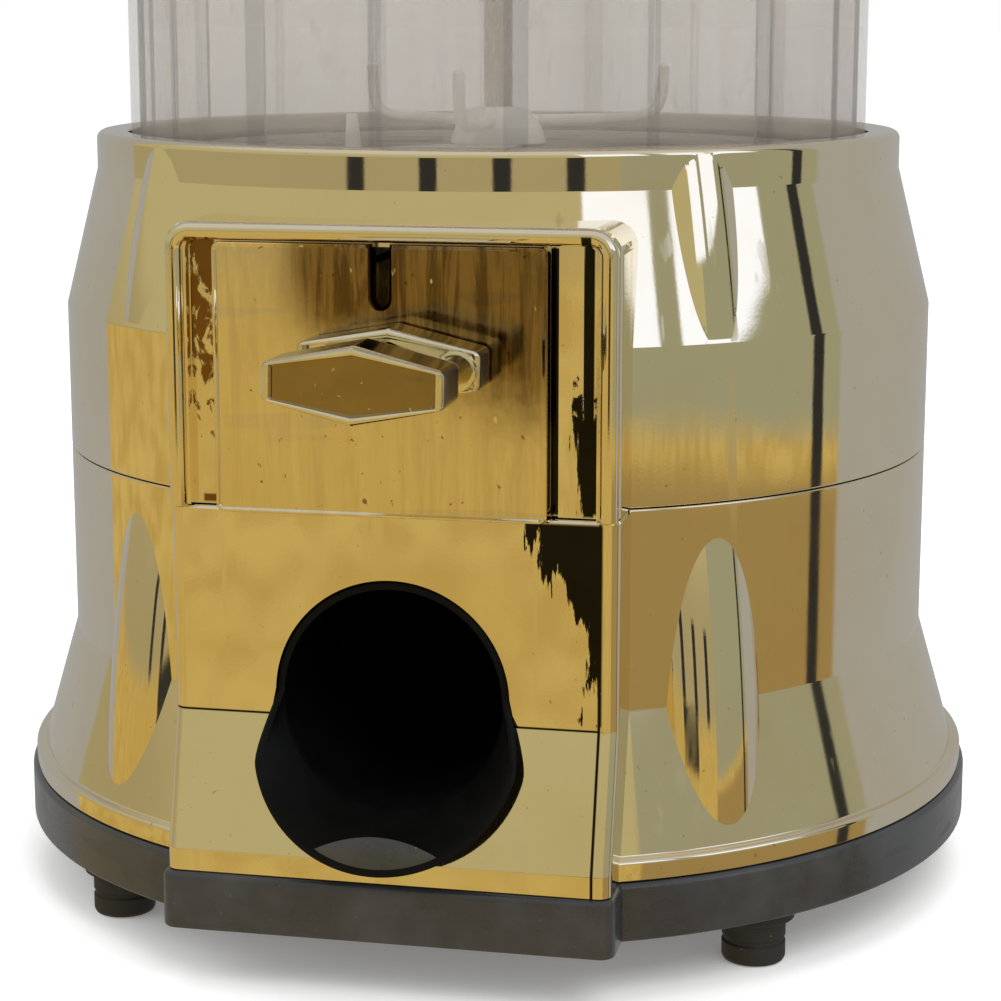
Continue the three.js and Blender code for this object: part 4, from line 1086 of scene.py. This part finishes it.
# ---- studio ----
def studio():
    bpy.ops.mesh.primitive_grid_add(x_subdivisions=2, y_subdivisions=2, size=60, location=(0, 0, -0.0004))
    floor = bpy.context.object
    floor.name = "floor"
    ground = bpy.data.materials.new("floor")
    ground.use_nodes = True
    shader = ground.node_tree.nodes["Principled BSDF"]
    shader.inputs["Base Color"].default_value = (0.96, 0.96, 0.96, 1)
    shader.inputs["Roughness"].default_value = 0.9
    shader.inputs["Emission Color"].default_value = (1, 1, 1, 1)
    shader.inputs["Emission Strength"].default_value = 0.16
    floor.data.materials.append(ground)
    floor.visible_glossy = False

    def softbox(name, place, aim, size, power, colour=(1, 1, 1)):
        light = bpy.data.lights.new(name, "AREA")
        light.shape = "RECTANGLE"
        light.size, light.size_y = size
        light.energy = power
        light.color = colour
        lamp = bpy.data.objects.new(name, light)
        lamp.location = place
        lamp.rotation_euler = (Vector(aim) - Vector(place)).to_track_quat("-Z", "Y").to_euler()
        lamp.visible_glossy = False
        bpy.context.scene.collection.objects.link(lamp)

    softbox("key", (1.2, -1.3, 2.0), (0, 0, 0.2), (1.4, 1.4), 22)
    softbox("fill", (-1.8, -0.9, 1.4), (0, 0, 0.2), (1.4, 1.6), 10)
    softbox("top", (0, 0.6, 2.6), (0, 0, 0.1), (2.2, 2.2), 26)
    surroundings()
    bpy.context.scene.view_settings.view_transform = "Standard"


# What the polished surfaces see: plain cards, in degrees round from the front and up from the horizon
TABLE, TABLE_GRAIN, TABLE_SHADE = (0.6, 0.45, 0.15), (0.5, 0.35, 0.1), (0.35, 0.25, 0.1)
FRONT_WALL, WALL_LOW, WALL_SHADE = (0.5, 0.45, 0.25), (0.4, 0.35, 0.2), (0.35, 0.35, 0.25)
CEILING, WINDOW, DARK_CARD = (0.6, 0.6, 0.6), (1.1, 1.2, 1.5), (0.03, 0.03, 0.03)
SIDE_CARD = (0.4, 0.4, 0.4)
CARDS = (                        # bearing from, to, height from, to, colour
    (45, 120, -60, -10, TABLE_SHADE),
    (45, 120, -10, 45, WALL_SHADE),
    (-10, 15, -10, -5, DARK_CARD),
    (35, 55, 15, 45, WINDOW),
    (60, 90, 15, 45, WINDOW),
    (100, 105, -60, 60, DARK_CARD),
)
UPRIGHT_BEARINGS = range(-30, 50, 20)
UPRIGHT_WIDTH = 6
SIDE = 110                       # past this bearing, on both sides, there is one grey card


def surroundings():
    """Pale soft light all round; the polished surfaces see a warm table in front and soft windows."""
    world = bpy.data.worlds.new("studio")
    world.use_nodes = True
    bpy.context.scene.world = world
    world.node_tree.nodes.clear()
    sky = Nodes(world.node_tree)
    direction = sky.node("ShaderNodeTexCoord").outputs["Generated"]
    x, y, z = sky.node("ShaderNodeSeparateXYZ", Vector=direction).outputs
    height = sky.both(sky.sum(z, 0.0, "ARCSINE"), math.degrees(1))
    bearing = sky.both(sky.sum(x, sky.both(y, -1.0), "ARCTAN2"), math.degrees(1))
    stretched = sky.node("ShaderNodeMapping", Vector=direction, Scale=(14, 3, 14)).outputs[0]
    grain = sky.node("ShaderNodeTexNoise", Vector=stretched, Detail=5).outputs["Fac"]

    seen = sky.mix(sky.span(grain, 0.38, 0.66), TABLE, TABLE_GRAIN)
    seen = sky.mix(sky.span(height, -7, -4), seen, WALL_LOW)
    seen = sky.mix(sky.span(height, 2, 10), seen, FRONT_WALL)
    uprights = [(low, low + UPRIGHT_WIDTH, -6, 2, DARK_CARD) for low in UPRIGHT_BEARINGS]
    for low, high, bottom, top, colour in (*CARDS, *uprights):
        card = sky.both(sky.within(bearing, low, high, 1.0), sky.within(height, bottom, top, 1.0))
        seen = sky.mix(card, seen, colour)
    seen = sky.mix(sky.span(height, 25, 50), seen, CEILING)
    seen = sky.mix(sky.span(sky.sum(bearing, 0.0, "ABSOLUTE"), SIDE, SIDE + 2), seen, SIDE_CARD)

    path = sky.node("ShaderNodeLightPath").outputs
    plain = sky.mix(path["Is Camera Ray"], (0.92, 0.92, 0.92), (1.0, 1.0, 1.0))
    shown = sky.mix(path["Is Glossy Ray"], plain, seen)
    background = sky.node("ShaderNodeBackground", _0=shown)
    sky.node("ShaderNodeOutputWorld", _0=background.outputs[0])


def camera():
    """A long lens a little to the right and above, aimed almost at the machine's axis."""
    stands_at, down = math.radians(12.066), math.radians(11.077)
    bearing = stands_at - math.radians(0.048)
    data = bpy.data.cameras.new("camera")
    data.sensor_width = 36
    data.lens = 91.69
    data.clip_end = 50
    view = bpy.data.objects.new("camera", data)
    reach, height = 0.8995, 0.3001
    view.location = (AXIS.x * MM + reach * math.sin(stands_at), AXIS.y * MM - reach * math.cos(stands_at),
                     height)
    level = math.cos(down)
    ahead = Vector((-math.sin(bearing) * level, math.cos(bearing) * level, -math.sin(down)))
    view.rotation_euler = ahead.to_track_quat("-Z", "Y").to_euler()
    bpy.context.scene.collection.objects.link(view)
    bpy.context.scene.camera = view


camera()
lower_shell()
upper_shell()
skirt()
feet()
chute()
chute_lip()
coin_plate()
handle()
hopper()
dispensing_wheel()
crown_gear()
stirrer()
drop_guard()
clear_tube()
centre_rod()
lid()
finish_frame()
studio()
